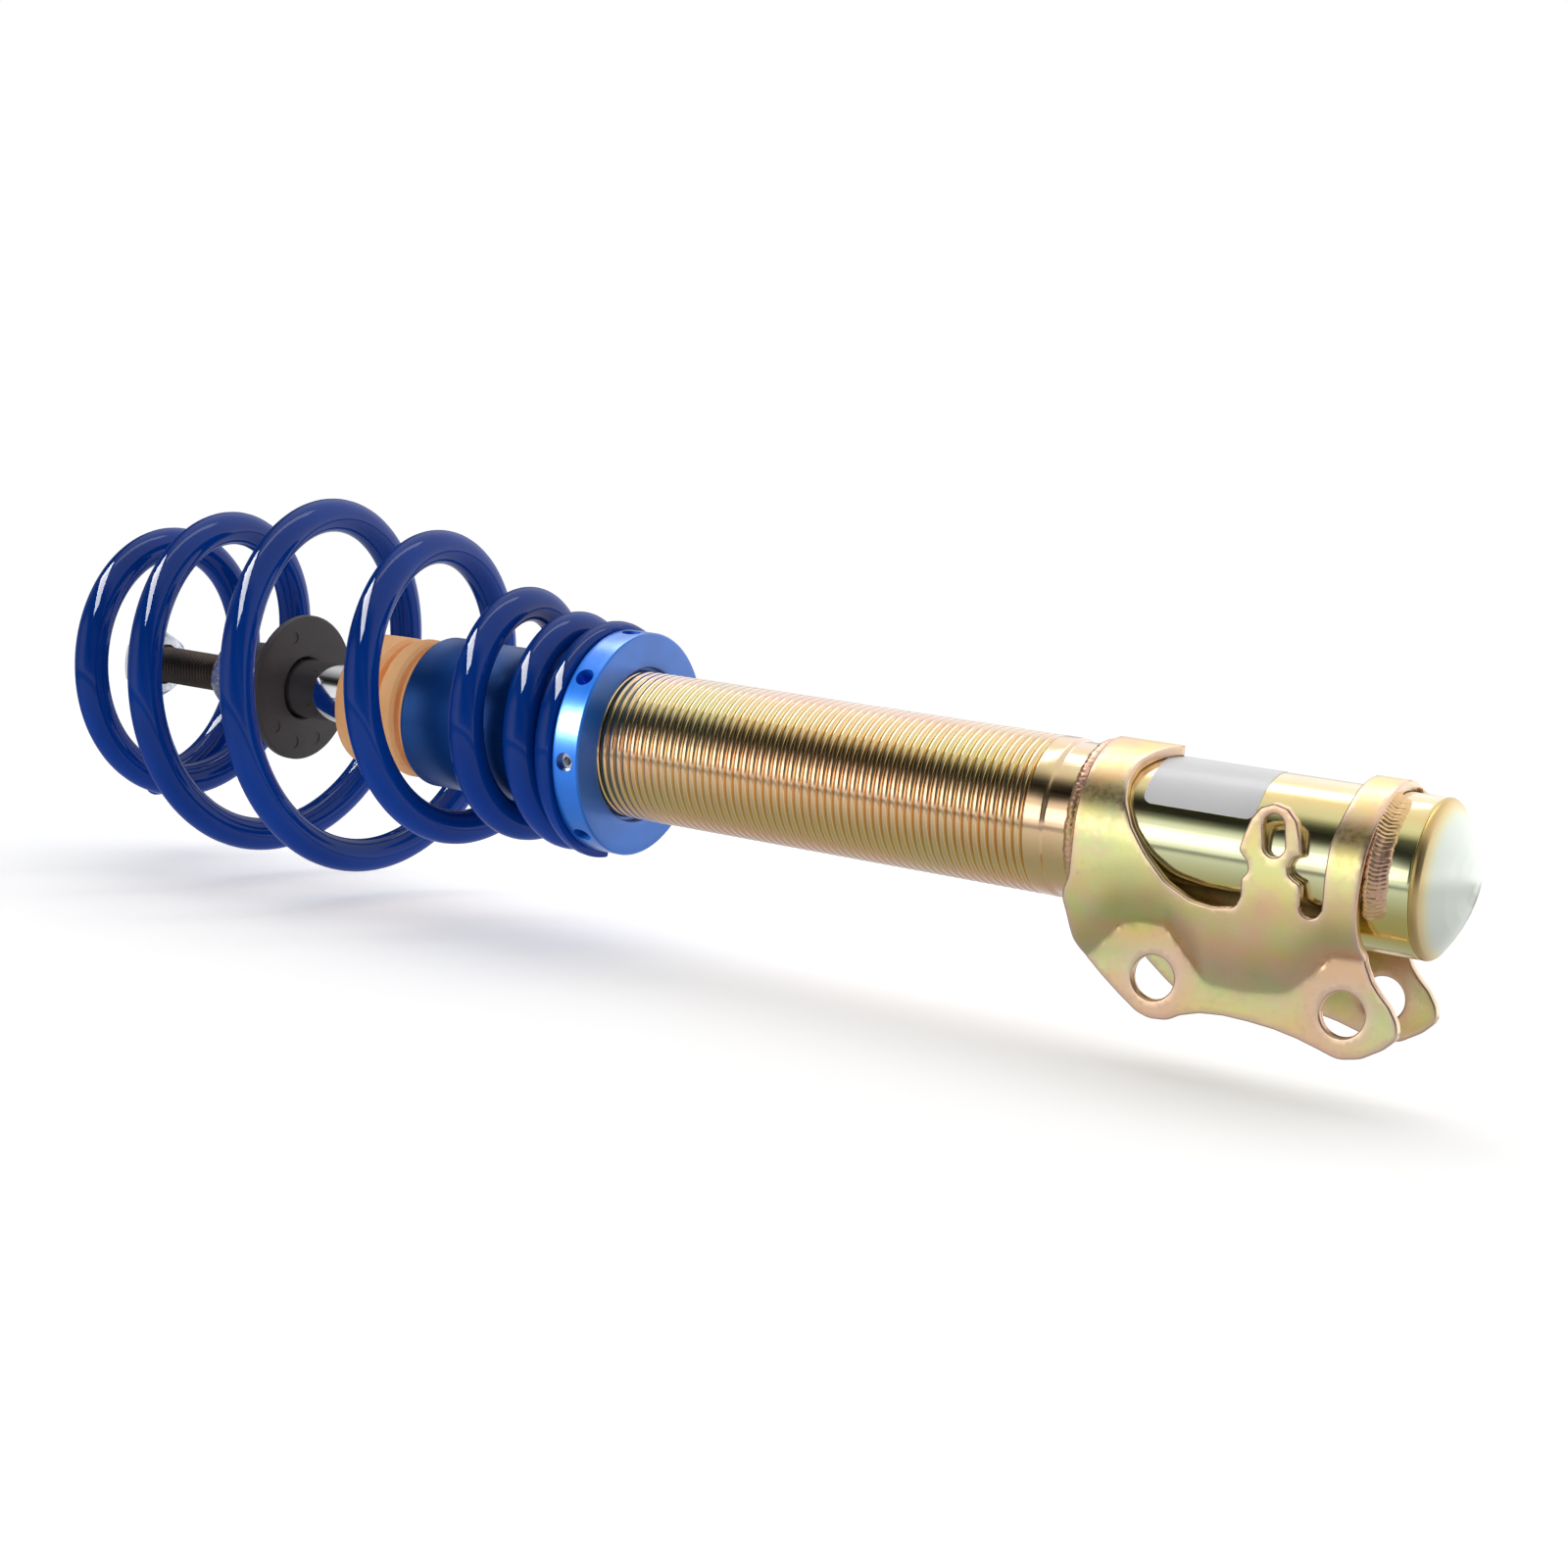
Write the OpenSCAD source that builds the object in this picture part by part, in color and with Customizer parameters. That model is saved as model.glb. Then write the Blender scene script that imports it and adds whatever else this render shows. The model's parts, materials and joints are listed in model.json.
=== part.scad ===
// Coil-over suspension strut: threaded strut tube with a pressed two-bolt
// knuckle bracket, adjustable spring collar, barrel coil spring, bump stop,
// dust cover and a chromed piston rod with a threaded top stud.
// The strut axis lies along X. +X runs from the rod end to the bottom cap,
// the knuckle ears point down (-Z) and their bolt holes run along Y.
// Origin: centre of the upper knuckle bolt hole, midway between the ears.

/* [Layout] */
// Distance from the collar's lower face to the upper knuckle bolt, along the strut
hole_s = 209.5; // [190:0.5:230]
// Height of the strut axis above the knuckle bolt holes
axis_h = 42.5; // [35:0.5:55]
// Distance between the two knuckle bolt holes
hole_pitch = 62; // [50:0.5:75]

/* [Strut tube] */
// Outside diameter of the smooth tube
tube_d = 50; // [45:0.5:60]
// Wall thickness of the tube
tube_wall = 2.5; // [2:0.1:4]
// Upper end of the tube
tube_top = -58; // [-80:1:-40]
// Lower end of the tube, where the base cap is welded on
tube_end = 289; // [260:1:320]
// Crest diameter of the collar thread
thread_d = 52; // [48:0.5:64]
// Pitch of the collar thread
thread_pitch = 3; // [1.5:0.5:4]
// Depth of the collar thread
thread_depth = 1.1; // [0.6:0.1:1.8]
// Lower end of the collar thread
thread_end = 164; // [120:1:180]

/* [Knuckle bracket] */
// Sheet thickness
sheet = 3.5; // [2.5:0.1:5]
// Outer half width across the two ears
ear_y = 20; // [16:0.5:26]
// Outer half width where the sheet hugs the tube
wrap_r = 28.5; // [27:0.1:34]
// Diameter of the knuckle bolt holes
bolt_hole_d = 14; // [10:0.1:18]

/* [Adjuster collar] */
// Outside diameter
collar_d = 79; // [70:1:90]
// Thickness of the collar's rim
collar_t = 10.9; // [8:0.1:16]
// Radial clearance on the thread crests
collar_fit = 0.08; // [0.04:0.01:0.1]
// Diameter of the spanner holes
pin_hole_d = 6.6; // [5:0.1:8]
// Number of spanner holes
pin_holes = 8; // [4:1:12]

/* [Coil spring] */
// Wire diameter
wire_d = 12.4; // [9:0.1:16]
// Sideways bow of the coil axis
spring_bow = 4; // [0:0.5:8]

/* [Rod] */
// Piston rod diameter
rod_d = 22; // [18:0.5:25]
// Top stud diameter
stud_d = 14; // [12:1:16]
// Upper end of the stud
stud_top = -240; // [-260:1:-230]
// Running clearance of the rod in its bush, radial
rod_fit = 0.05; // [0.02:0.01:0.1]

/* [Bump stop and dust cover] */
// Dust cover outside diameter
cover_d = 55; // [54:0.5:64]
// Upper edge of the dust cover
cover_top = -86.65; // [-100:0.5:-70]
// Lower edge of the dust cover
cover_end = -23; // [-40:0.5:-20]
// Upper end of the bump stop
bump_top = -120.4; // [-140:0.5:-100]

/* [Hidden] */
$fn = 96;
e = 0.02;
R_t = tube_d/2;
R_i = R_t - tube_wall;
R_c = thread_d/2;
R_root = R_c - thread_depth;
R_rod = rod_d/2;
R_stud = stud_d/2;
wr = wire_d/2;
cyl_r = 16;      // inner cylinder bore radius
cyl_o = 17.5;    // inner cylinder outside radius
seat_s = -collar_t;

// Spring design table: wire-centre radius and position every half turn,
// from the start of the top end coil to the ground end on the collar.
sp_a0 = 90;
sp_r = [46, 47, 45, 54.5, 61.5, 62.5, 62.5, 55.5, 44, 41, 36.5, 36, 35.5, 35.5, 36];
sp_s = [-226.5, -224.5, -213, -193, -168, -146, -118.5, -98, -74, -54.5, -43.5, -31.5, -22.5, -15, -11.5];
sp_n = len(sp_r);
sp_steps = 28;   // rings per half turn
sp_sides = 12;   // sides of the wire

// ---- helpers ------------------------------------------------------------

// moves the strut axis to its place above the bolt holes
module on_axis() { translate([-hole_s, 0, axis_h]) children(); }

// revolves a [position along the strut, radius] outline round the strut axis
module rev(pts, ang = 360, from = 0)
  rotate([from, 0, 0]) rotate([0, 90, 0]) rotate_extrude(angle = ang)
    polygon([for (p = pts) [p[1], p[0]]]);

// plain ring from s0 to s1
module ring(s0, s1, ro, ri) rev([[s0, ri], [s1, ri], [s1, ro], [s0, ro]]);

// solid disc or rod
module rod(s0, s1, r) translate([s0, 0, 0]) rotate([0, 90, 0]) cylinder(r = r, h = s1 - s0);

// side-view outline pushed through the whole width, points are [position, depth below axis]
module side(pts, w = 80) rotate([90, 0, 0]) linear_extrude(height = w, center = true)
  polygon([for (p = pts) [p[0], -p[1]]]);

// a hole across the strut at a position and depth below the axis
module cross_hole(s, d, r, w = 90) translate([s, w/2, -d]) rotate([90, 0, 0]) cylinder(r = r, h = w);

// places children, drawn along +Z, so that they point radially out at an angle below the -Y side
module radial(s, ang, r0) translate([s, 0, 0]) rotate([ang, 0, 0]) rotate([90, 0, 0]) translate([0, 0, r0]) children();

// hexagon prism round the axis
module hex(s0, s1, af) translate([s0, 0, 0]) rotate([0, 90, 0]) rotate([0, 0, 30]) cylinder(r = af/2/cos(30), h = s1 - s0, $fn = 6);

// ---- tube and base --------------------------------------------------------

module strut_tube() color([0.78, 0.70, 0.42]) on_axis() {
  n = floor((thread_end + 50)/thread_pitch);
  p = thread_pitch;
  outer = [for (i = [0:n-1]) let(s = thread_end - (n - i)*p)
    each [[s, R_root], [s + p*0.16, R_root], [s + p*0.38, R_c], [s + p*0.72, R_c], [s + p*0.94, R_root]]];
  rev(concat([[tube_top, R_i], [tube_top, R_t - 0.6], [tube_top + 0.6, R_t - 0.1], [thread_end - n*p - 1, R_t - 0.1]],
    outer, [[thread_end, R_root], [thread_end + 0.8, R_c], [thread_end + 3.2, R_c], [thread_end + 5.6, R_t], [tube_end, R_t], [tube_end, R_i]]));
}

module base_cap() color([0.85, 0.84, 0.70]) on_axis()
  rev([[279, 19.4], [279, R_i - 0.05], [tube_end, R_i - 0.05], [tube_end, R_t], [290.3, R_t + 0.05], [291.6, 24.2], [293.2, 21.9],
    [295.2, 18.9], [297.2, 15.4], [299.2, 11.2], [300.8, 6.8], [301.6, 3.2], [301.9, 0],
    [298.6, 0], [297.9, 4], [296, 9], [293.6, 13.6], [291, 17.4], [289, 19], [286, 19.4]]);

module base_valve() color([0.7, 0.7, 0.72]) on_axis() difference() {
  rev([[264, 0], [264, 14.9], [265, cyl_r - 0.05], [272, cyl_r - 0.05], [272, cyl_o + 1], [273.5, 21.5], [279, 21.5], [279, 12], [276, 10], [276, 0]]);
  for (k = [0:5]) rotate([k*60, 0, 0]) translate([260, 0, 9]) rotate([0, 90, 0]) cylinder(r = 1.6, h = 20);
}

module inner_cylinder() color([0.6, 0.6, 0.62]) on_axis() ring(-30, 272, cyl_o, cyl_r);

module rod_guide() color([0.5, 0.5, 0.5]) on_axis()
  rev([[-50, 12.0], [-50, R_i - 0.05], [-33, R_i - 0.05], [-30, 19.5], [-30, cyl_r - 0.05], [-24, cyl_r - 0.05], [-24, 13.4], [-26.5, 13.4], [-26.5, 12.0]]);

module guide_bush() color([0.7, 0.5, 0.3]) on_axis() ring(-49, -27, 12.0, R_rod + rod_fit);

module rod_seal() color([0.08, 0.08, 0.08]) on_axis()
  rev([[-50, 13], [-50, 21], [-54.5, 21], [-54.5, 15], [-54, 14], [-54.4, R_rod + 0.9], [-53.4, R_rod + 0.08], [-52.2, R_rod + 0.08], [-51.2, R_rod + 1]]);

module gland_nut() color([0.75, 0.75, 0.75]) on_axis()
  rev([[-61, 12.6], [-61, 23.6], [-60, 24.4], [-58, 24.4], [-58, R_i - 0.05], [-54.5, R_i - 0.05], [-54.5, 12.6]]);

// ---- knuckle bracket ----------------------------------------------------------

// side-view outline: band round the tube at the top, window, slotted tab,
// clamp band and the two-bolt ears
bracket_body = [[203.5, -31], [181, -31], [181, 15], [178.6, 20], [181.5, 26], [182.6, 34.6], [186, 39.7],
  [198.3, 49.6], [205.2, 54.4], [209.4, 55.5], [216.1, 54.9], [219, 52.7], [226, 50.6], [233.7, 49.9], [250.5, 50.9],
  [263.4, 53.9], [266.8, 55.2], [271.9, 56.4], [278.8, 54.8], [285.1, 50.8], [289.7, 46.6], [288.4, 42], [285.9, 37.6],
  [281.8, 34], [279.7, 31.2], [277.2, 26], [275.4, 20], [275, 12], [275, 4], [275.7, -7.6], [276.4, -20], [276.6, -31],
  [265.6, -31], [265.4, -20], [263.8, -8.4], [264, 7], [263.9, 11], [262.4, 13.2], [260.2, 13.9], [258.2, 13.1], [257.2, 11.2],
  [257.2, 6.5], [257, 4.3], [252.6, 1.9], [252.4, -0.6], [236.9, -0.6],[239, 0.4], [239.6, 3.3], [237.6, 5.6], [238.2, 11.8], [236.6, 14.6], [230, 15.8],
  [222.5, 15], [213.8, 10.6], [206.5, 3.6], [200.6, -4.2], [196.9, -12], [195.6, -18], [196.6, -23.5], [199.5, -26.6]];
tab = [[236.2, 0.5], [236.0, -2.8], [236.4, -5], [237.4, -8.6], [238.9, -13], [241.6, -16.9], [245.9, -18.9], [250.2, -18], [253.3, -14.8],
  [255.2, -9.6], [256.1, -4.4], [253.6, -3.4], [252.3, -1], [252.4, 0.5]];

module bracket_outer() {
  rod(176, 292, wrap_r);
  translate([176, -wrap_r, -22]) cube([116, 2*wrap_r, 22]);
  hull() {
    translate([176, -wrap_r, -22]) cube([116, 2*wrap_r, 1]);
    translate([176, -ear_y, -27.5]) cube([116, 2*ear_y, 1]);
  }
  hull() {
    side([[214, 18], [229.5, 36], [251.5, 34], [262, 18]], 2*wrap_r);
    side([[210, 21], [227.5, 41.5], [252.9, 39.2], [266, 21]], 2*ear_y);
  }
  hull() {
    side([[176, 18], [176, 38.5], [184, 38.5], [196, 18]], 2*wrap_r);
    side([[176, 20], [176, 42], [187.4, 40.5], [200, 22]], 2*ear_y);
  }
  translate([176, -ear_y, -60]) cube([116, 2*ear_y, 60]);
}

module bracket_inner() {
  w = wrap_r - sheet + 0.35;
  rod(170, 300, w);
  translate([170, -w, -19.4]) cube([130, 2*w, 19.4]);
  hull() {
    translate([170, -w, -19.4]) cube([130, 2*w, 1]);
    translate([170, -ear_y + sheet, -25]) cube([130, 2*(ear_y - sheet), 1]);
  }
  hull() {
    side([[217.4, 16], [231, 32.6], [249.8, 31], [258.6, 16]], 2*w);
    side([[214, 19], [229.2, 38.2], [251, 36.2], [262.4, 19]], 2*(ear_y - sheet));
  }
  hull() {
    side([[170, 16], [170, 45], [181.4, 35.6], [192.4, 16]], 2*w);
    side([[170, 18], [170, 45], [183.6, 39], [196.4, 20]], 2*(ear_y - sheet));
  }
  translate([170, -ear_y + sheet, -70]) cube([130, 2*(ear_y - sheet), 70]);
}

module knuckle_bracket() color([0.80, 0.66, 0.40]) on_axis() difference() {
  union() {
    intersection() {
      difference() { bracket_outer(); bracket_inner(); }
      side(bracket_body);
    }
    for (m = [-1, 1]) intersection() {
      translate([230, m > 0 ? wrap_r - sheet + 0.35 : -wrap_r, -2]) cube([30, sheet - 0.35, 22]);
      side(tab);
    }
  }
  cross_hole(hole_s, axis_h, bolt_hole_d/2);
  cross_hole(hole_s + hole_pitch, axis_h, bolt_hole_d/2);
  // slot in the tab
  cross_hole(246.4, -12, 3.2);
  cross_hole(247.0, -6, 3.2);
  side([[243.2, -12], [249.6, -12], [250.2, -6], [243.8, -6]], 90);
}

module upper_weld() color([0.80, 0.62, 0.36]) on_axis()
  rev([[176.8, R_t + 0.03], [180.97, R_t + 0.03], [180.97, 28.3], [180.2, 28.2], [178.4, 26.9], [177.2, 25.7]], 280, 40);

module lower_welds() color([0.80, 0.58, 0.38]) on_axis()
  for (a = [0, 1]) mirror([0, a, 0])
    rev([[277.0, R_t + 0.03], [283.2, R_t + 0.03], [282.6, 26.2], [281, 27.4], [279, 28.0], [277.4, 28.1], [277.0, 27.8]], 97, 63);

module rating_label() color([0.9, 0.9, 0.92]) on_axis()
  rev([[200.5, R_t + 0.02], [237.5, R_t + 0.02], [237.5, R_t + 0.26], [200.5, R_t + 0.26]], 73, 169);

// ---- dust cover and bump stop ----------------------------------------------------

module dust_cover() color([0.06, 0.18, 0.50]) on_axis() {
  R = cover_d/2;
  rev([[cover_top, 25.75], [cover_top, R - 1.0], [cover_top + 0.4, R - 0.45], [cover_top + 1.2, R], [cover_end, R], [cover_end, R - 1.1],
    [tube_top, R - 1.1], [tube_top, 24.6], [tube_top - 1.3, 24.6], [tube_top - 1.3, R - 1.2], [cover_top + 3, R - 1.2], [cover_top + 1.6, 25.75]]);
}

module bump_stop() color([0.94, 0.64, 0.38]) on_axis() {
  b = bump_top;
  rev([[b, 12], [b, 22.6], [b + 0.6, 23.8], [b + 2.2, 24.7], [b + 16.0, 24.8], [b + 17.6, 24.2], [b + 18.4, 22.8], [b + 19.4, 22.4],
    [b + 20.3, 24.0], [b + 21.4, 25.1], [b + 23.0, 25.5], [b + 28.2, 25.4], [b + 29.8, 24.9], [b + 30.8, 24.6], [b + 32, 24.9], [b + 33, 25.2],
    [b + 44, 25.2], [b + 46.5, 23.0], [b + 49, 24.6], [b + 56, 24.4], [-61.1, 22], [-61.1, 12], [-70, 11.5], [b + 10, 11.5]]);
}

// ---- rod and piston ------------------------------------------------------------------

module piston_rod() color([0.85, 0.86, 0.88]) on_axis()
  rev([[stud_top, 0], [stud_top, R_stud - 1], [stud_top + 1, R_stud], [-165, R_stud], [-165, R_rod - 1], [-164, R_rod], [0, R_rod], [0, 6], [31, 6], [32, 5.2], [32, 0]]);

module rebound_stop() color([0.3, 0.3, 0.3]) on_axis() ring(-23.5, -14, 15.2, R_rod);

module piston() color([0.55, 0.55, 0.55]) on_axis() difference() {
  rev([[0, 6], [0, 14.6], [0.8, 15.6], [3, 15.6], [3, 14.2], [13, 14.2], [13, 15.6], [15.2, 15.6], [16, 14.6], [16, 6]]);
  for (k = [0:5]) rotate([k*60 + 30, 0, 0]) translate([-5, 0, 10]) rotate([0, 90, 0]) cylinder(r = 1.6, h = 30);
}

module piston_band() color([0.2, 0.22, 0.2]) on_axis() ring(3.3, 12.7, cyl_r - 0.05, 14.5);

module valve_shims() color([0.7, 0.7, 0.65]) on_axis() rev([[16, 6], [16, 13.6], [17, 13.6], [17, 11.5], [18, 11.5], [18, 9.5], [19, 9.5], [19, 6]]);

module piston_nut() color([0.6, 0.6, 0.6]) on_axis() difference() { hex(19, 29, 19); rod(10, 35, 6); }

module bump_plate() color([0.16, 0.15, 0.16]) on_axis()
  rev([[-153.7, 11.4], [-153.7, 26.6], [-154.4, 27.4], [-156.6, 27.4], [-157.3, 26.8], [-158, 22.5], [-162, 19.6], [-166, 17.2], [-171, 14.8],
    [-180, 14.2], [-180, R_stud + 0.1], [-165, R_stud + 0.1], [-165, 11.4]]);

module clamp_nut() color([0.86, 0.88, 0.90]) on_axis() difference() {
  intersection() { hex(-191, -180, 22); rev([[-191, 0], [-191, 11], [-190, 12.8], [-181, 12.8], [-180, 11.8], [-180, 0]]); }
  rod(-200, -170, R_stud);
}

module top_nut() color([0.86, 0.88, 0.90]) on_axis() difference() {
  intersection() { hex(-236, -225, 22); rev([[-236, 0], [-236, 11], [-235, 12.8], [-226, 12.8], [-225, 11.2], [-225, 0]]); }
  rod(-250, -220, R_stud);
}

// ---- coil spring ------------------------------------------------------------------------

// smooth (Catmull-Rom) reading of a design table at turn position u, in half turns
function tget(t, i) = i < 0 ? 2*t[0] - t[1] : (i >= len(t) ? 2*t[len(t)-1] - t[len(t)-2] : t[i]);
function tab_at(t, u) = let(i = min(floor(u), len(t) - 2), f = u - i,
  p0 = tget(t, i-1), p1 = tget(t, i), p2 = tget(t, i+1), p3 = tget(t, i+2))
  0.5*((2*p1) + (-p0 + p2)*f + (2*p0 - 5*p1 + 4*p2 - p3)*f*f + (-p0 + 3*p1 - 3*p2 + p3)*f*f*f);
function bow(s) = spring_bow*sin(180*min(1, max(0, (s + 230)/220)));
// wire centre, angle measured from -Y towards -Z
function sp_c(u) = let(r = tab_at(sp_r, u), s = tab_at(sp_s, u), a = sp_a0 + 180*u)
  [s, -r*cos(a), -r*sin(a) + bow(s)];
function unit(v) = v/norm(v);
function sp_ring(u) = let(c = sp_c(u), t = unit(sp_c(u + 0.01) - sp_c(u - 0.01)), a = sp_a0 + 180*u,
  q = [0, -cos(a), -sin(a)], n1 = unit(q - t*(q*t)), n2 = cross(t, n1))
  [for (k = [0:sp_sides-1]) let(b = 360*k/sp_sides + 15, p = c + wr*(n1*cos(b) + n2*sin(b)))
    [min(p[0], seat_s - 0.1), p[1], p[2]]];

module coil_spring() color([0.05, 0.16, 0.55]) on_axis() {
  m = (sp_n - 1)*sp_steps;
  pts = [for (i = [0:m]) each sp_ring(i/sp_steps)];
  S = sp_sides;
  faces = concat(
    [for (i = [0:m-1]) for (k = [0:S-1]) [i*S + k, i*S + (k+1)%S, (i+1)*S + k]],
    [for (i = [0:m-1]) for (k = [0:S-1]) [i*S + (k+1)%S, (i+1)*S + (k+1)%S, (i+1)*S + k]],
    [[for (k = [S-1:-1:0]) k]], [[for (k = [0:S-1]) m*S + k]]);
  polyhedron(points = pts, faces = faces, convexity = 8);
}

// ---- adjuster collar ------------------------------------------------------------------------

grub_ang = 6.7;   // angle of the grub screw below the -Y side
hole_x = -5.45;   // middle of the rim

module adjuster_collar() color([0.08, 0.42, 0.90]) on_axis() difference() {
  R = collar_d/2;
  rev([[0, 27.6], [0, R - 0.5], [-0.5, R], [seat_s + 0.5, R], [seat_s, R - 0.5], [seat_s, 28.5], [seat_s - 7.2, 28.3], [seat_s - 8, 27.6],
    [seat_s - 8, R_c + 0.9], [seat_s - 7.2, R_c + collar_fit], [-2.6, R_c + collar_fit], [-2.6, 27.6]]);
  for (k = [1:pin_holes-1]) radial(hole_x, grub_ang + k*360/pin_holes, R - 9) cylinder(r = pin_hole_d/2, h = 12);
  radial(hole_x, grub_ang, 20) cylinder(r = pin_hole_d/2, h = 24);
}

module grub_screw() color([0.8, 0.8, 0.82]) on_axis() radial(hole_x, grub_ang, 0) difference() {
  translate([0, 0, 30.4]) cylinder(r = pin_hole_d/2 - 0.1, h = 7);
  translate([0, 0, 34.4]) cylinder(r = 1.5/cos(30), h = 4, $fn = 6);
}

module screw_pad() color([0.9, 0.88, 0.8]) on_axis() radial(hole_x, grub_ang, 26.6) cylinder(r = pin_hole_d/2 - 0.1, h = 3.8);

// ---- nodes --------------------------------------------------------------------------------------

strut_tube();
base_cap();
base_valve();
inner_cylinder();
rod_guide();
guide_bush();
rod_seal();
gland_nut();
knuckle_bracket();
upper_weld();
lower_welds();
rating_label();
dust_cover();
bump_stop();
piston_band();
piston_rod();
rebound_stop();
piston();
valve_shims();
piston_nut();
bump_plate();
clamp_nut();
top_nut();
coil_spring();
adjuster_collar();
grub_screw();
screw_pad();
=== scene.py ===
import json
import math
import bpy
import bmesh
import numpy as np
from mathutils import Matrix, Vector
from mathutils.geometry import delaunay_2d_cdt

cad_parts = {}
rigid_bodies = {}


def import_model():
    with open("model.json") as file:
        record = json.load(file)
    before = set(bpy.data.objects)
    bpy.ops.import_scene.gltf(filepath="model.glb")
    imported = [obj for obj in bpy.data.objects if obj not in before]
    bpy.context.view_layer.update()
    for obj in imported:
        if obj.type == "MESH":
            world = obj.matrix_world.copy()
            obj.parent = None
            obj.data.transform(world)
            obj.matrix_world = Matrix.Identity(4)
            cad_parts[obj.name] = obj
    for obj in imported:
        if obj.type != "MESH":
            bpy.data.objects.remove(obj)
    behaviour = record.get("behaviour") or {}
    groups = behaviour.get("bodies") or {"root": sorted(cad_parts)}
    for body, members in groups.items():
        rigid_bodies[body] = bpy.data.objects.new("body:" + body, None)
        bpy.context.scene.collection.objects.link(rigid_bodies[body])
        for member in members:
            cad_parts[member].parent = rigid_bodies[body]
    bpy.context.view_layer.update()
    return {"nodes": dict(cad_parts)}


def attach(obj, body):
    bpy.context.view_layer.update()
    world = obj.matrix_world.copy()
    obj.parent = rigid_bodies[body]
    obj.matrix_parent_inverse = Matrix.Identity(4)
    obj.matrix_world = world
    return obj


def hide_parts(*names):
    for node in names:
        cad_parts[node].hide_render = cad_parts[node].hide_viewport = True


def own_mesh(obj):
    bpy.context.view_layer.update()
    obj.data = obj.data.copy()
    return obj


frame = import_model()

# ---------------------------------------------------------------- frame helpers
# All shapes are written in strut millimetres: s along the strut from the
# collar's lower face, y sideways, z up from the strut axis.
S0, H = 209.5, 42.5
T_TUBE = 25.0


def to_world(co):
    co = np.asarray(co, float).reshape(-1, 3)
    return (co + np.array([-S0, 0.0, H])) / 1000.0


def mesh_object(name, verts, faces, smooth=True, angle=35.0, weld=None):
    me = bpy.data.meshes.new(name)
    me.from_pydata([tuple(v) for v in to_world(verts)], [], [tuple(int(i) for i in f) for f in faces])
    me.validate()
    if weld is not None:
        bm = bmesh.new()
        bm.from_mesh(me)
        bmesh.ops.remove_doubles(bm, verts=bm.verts, dist=weld / 1000.0)
        bmesh.ops.dissolve_degenerate(bm, edges=bm.edges, dist=1e-6)
        bm.to_mesh(me)
        bm.free()
    ob = bpy.data.objects.new(name, me)
    bpy.context.scene.collection.objects.link(ob)
    finish_mesh(ob, smooth, angle)
    return ob


def finish_mesh(ob, smooth=True, angle=35.0):
    me = ob.data
    bm = bmesh.new()
    bm.from_mesh(me)
    bmesh.ops.recalc_face_normals(bm, faces=bm.faces)
    bm.to_mesh(me)
    bm.free()
    me.polygons.foreach_set("use_smooth", [smooth] * len(me.polygons))
    if smooth:
        me.set_sharp_from_angle(angle=math.radians(angle))
    me.update()


def fillet(pts, r, n=4, closed=False):
    """Rounds the corners of a polyline. r is one radius or one per point."""
    pts = [np.array(p, float) for p in pts]
    m = len(pts)
    rs = [r] * m if np.isscalar(r) else list(r)
    out = []
    for i, p in enumerate(pts):
        if (not closed and i in (0, m - 1)) or rs[i] <= 0:
            out.append(p)
            continue
        a, b = pts[i - 1] - p, pts[(i + 1) % m] - p
        la, lb = np.linalg.norm(a), np.linalg.norm(b)
        if la < 1e-9 or lb < 1e-9:
            out.append(p)
            continue
        a, b = a / la, b / lb
        c = max(-1.0, min(1.0, float(a @ b)))
        half = math.acos(c) / 2
        if half > math.radians(88) or half < math.radians(2):
            out.append(p)
            continue
        d = min(rs[i] / math.tan(half), 0.45 * la, 0.45 * lb)
        rr = d * math.tan(half)
        mid = (a + b) / np.linalg.norm(a + b)
        centre = p + mid * (rr / math.sin(half))
        p0, p1 = p + a * d - centre, p + b * d - centre
        a0 = math.atan2(p0[1], p0[0])
        da = (math.atan2(p1[1], p1[0]) - a0 + math.pi) % (2 * math.pi) - math.pi
        for k in range(n + 1):
            t = a0 + da * k / n
            out.append(centre + rr * np.array([math.cos(t), math.sin(t)]))
    return np.array(out)


def densify(prof, step, closed=False):
    out = []
    m = len(prof)
    last = m if closed else m - 1
    for i in range(last):
        p, q = prof[i], prof[(i + 1) % m]
        k = max(1, int(math.ceil(np.linalg.norm(q - p) / step)))
        for j in range(k):
            out.append(p + (q - p) * j / k)
    if not closed:
        out.append(prof[-1])
    return np.array(out)


def lathe(name, prof, seg=128, closed=True, weld=0.004, angle=30.0, wobble=None):
    """Turns [s, r] points about the strut axis. Points with r = 0 close on the axis."""
    prof = np.asarray(prof, float)
    n = len(prof)
    th = np.linspace(0, 2 * np.pi, seg, endpoint=False)
    s = np.repeat(prof[:, 0:1], seg, 1)
    r = np.repeat(prof[:, 1:2], seg, 1)
    if wobble is not None:
        s, r = wobble(s, r, np.repeat(th[None, :], n, 0))
    v = np.stack([s, r * np.cos(th)[None, :], r * np.sin(th)[None, :]], -1).reshape(-1, 3)
    f = []
    for i in range(n if closed else n - 1):
        i2 = (i + 1) % n
        for k in range(seg):
            k2 = (k + 1) % seg
            f.append((i * seg + k, i2 * seg + k, i2 * seg + k2, i * seg + k2))
    return mesh_object(name, v, f, True, angle, weld)


def boolean(ob, cutter, op="DIFFERENCE"):
    m = ob.modifiers.new("cut", "BOOLEAN")
    m.operation = op
    m.solver = "EXACT"
    m.object = cutter
    bpy.context.view_layer.update()
    dg = bpy.context.evaluated_depsgraph_get()
    me = bpy.data.meshes.new_from_object(ob.evaluated_get(dg))
    ob.modifiers.clear()
    old = ob.data
    ob.data = me
    bpy.data.meshes.remove(old)
    bpy.data.objects.remove(cutter)


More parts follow.
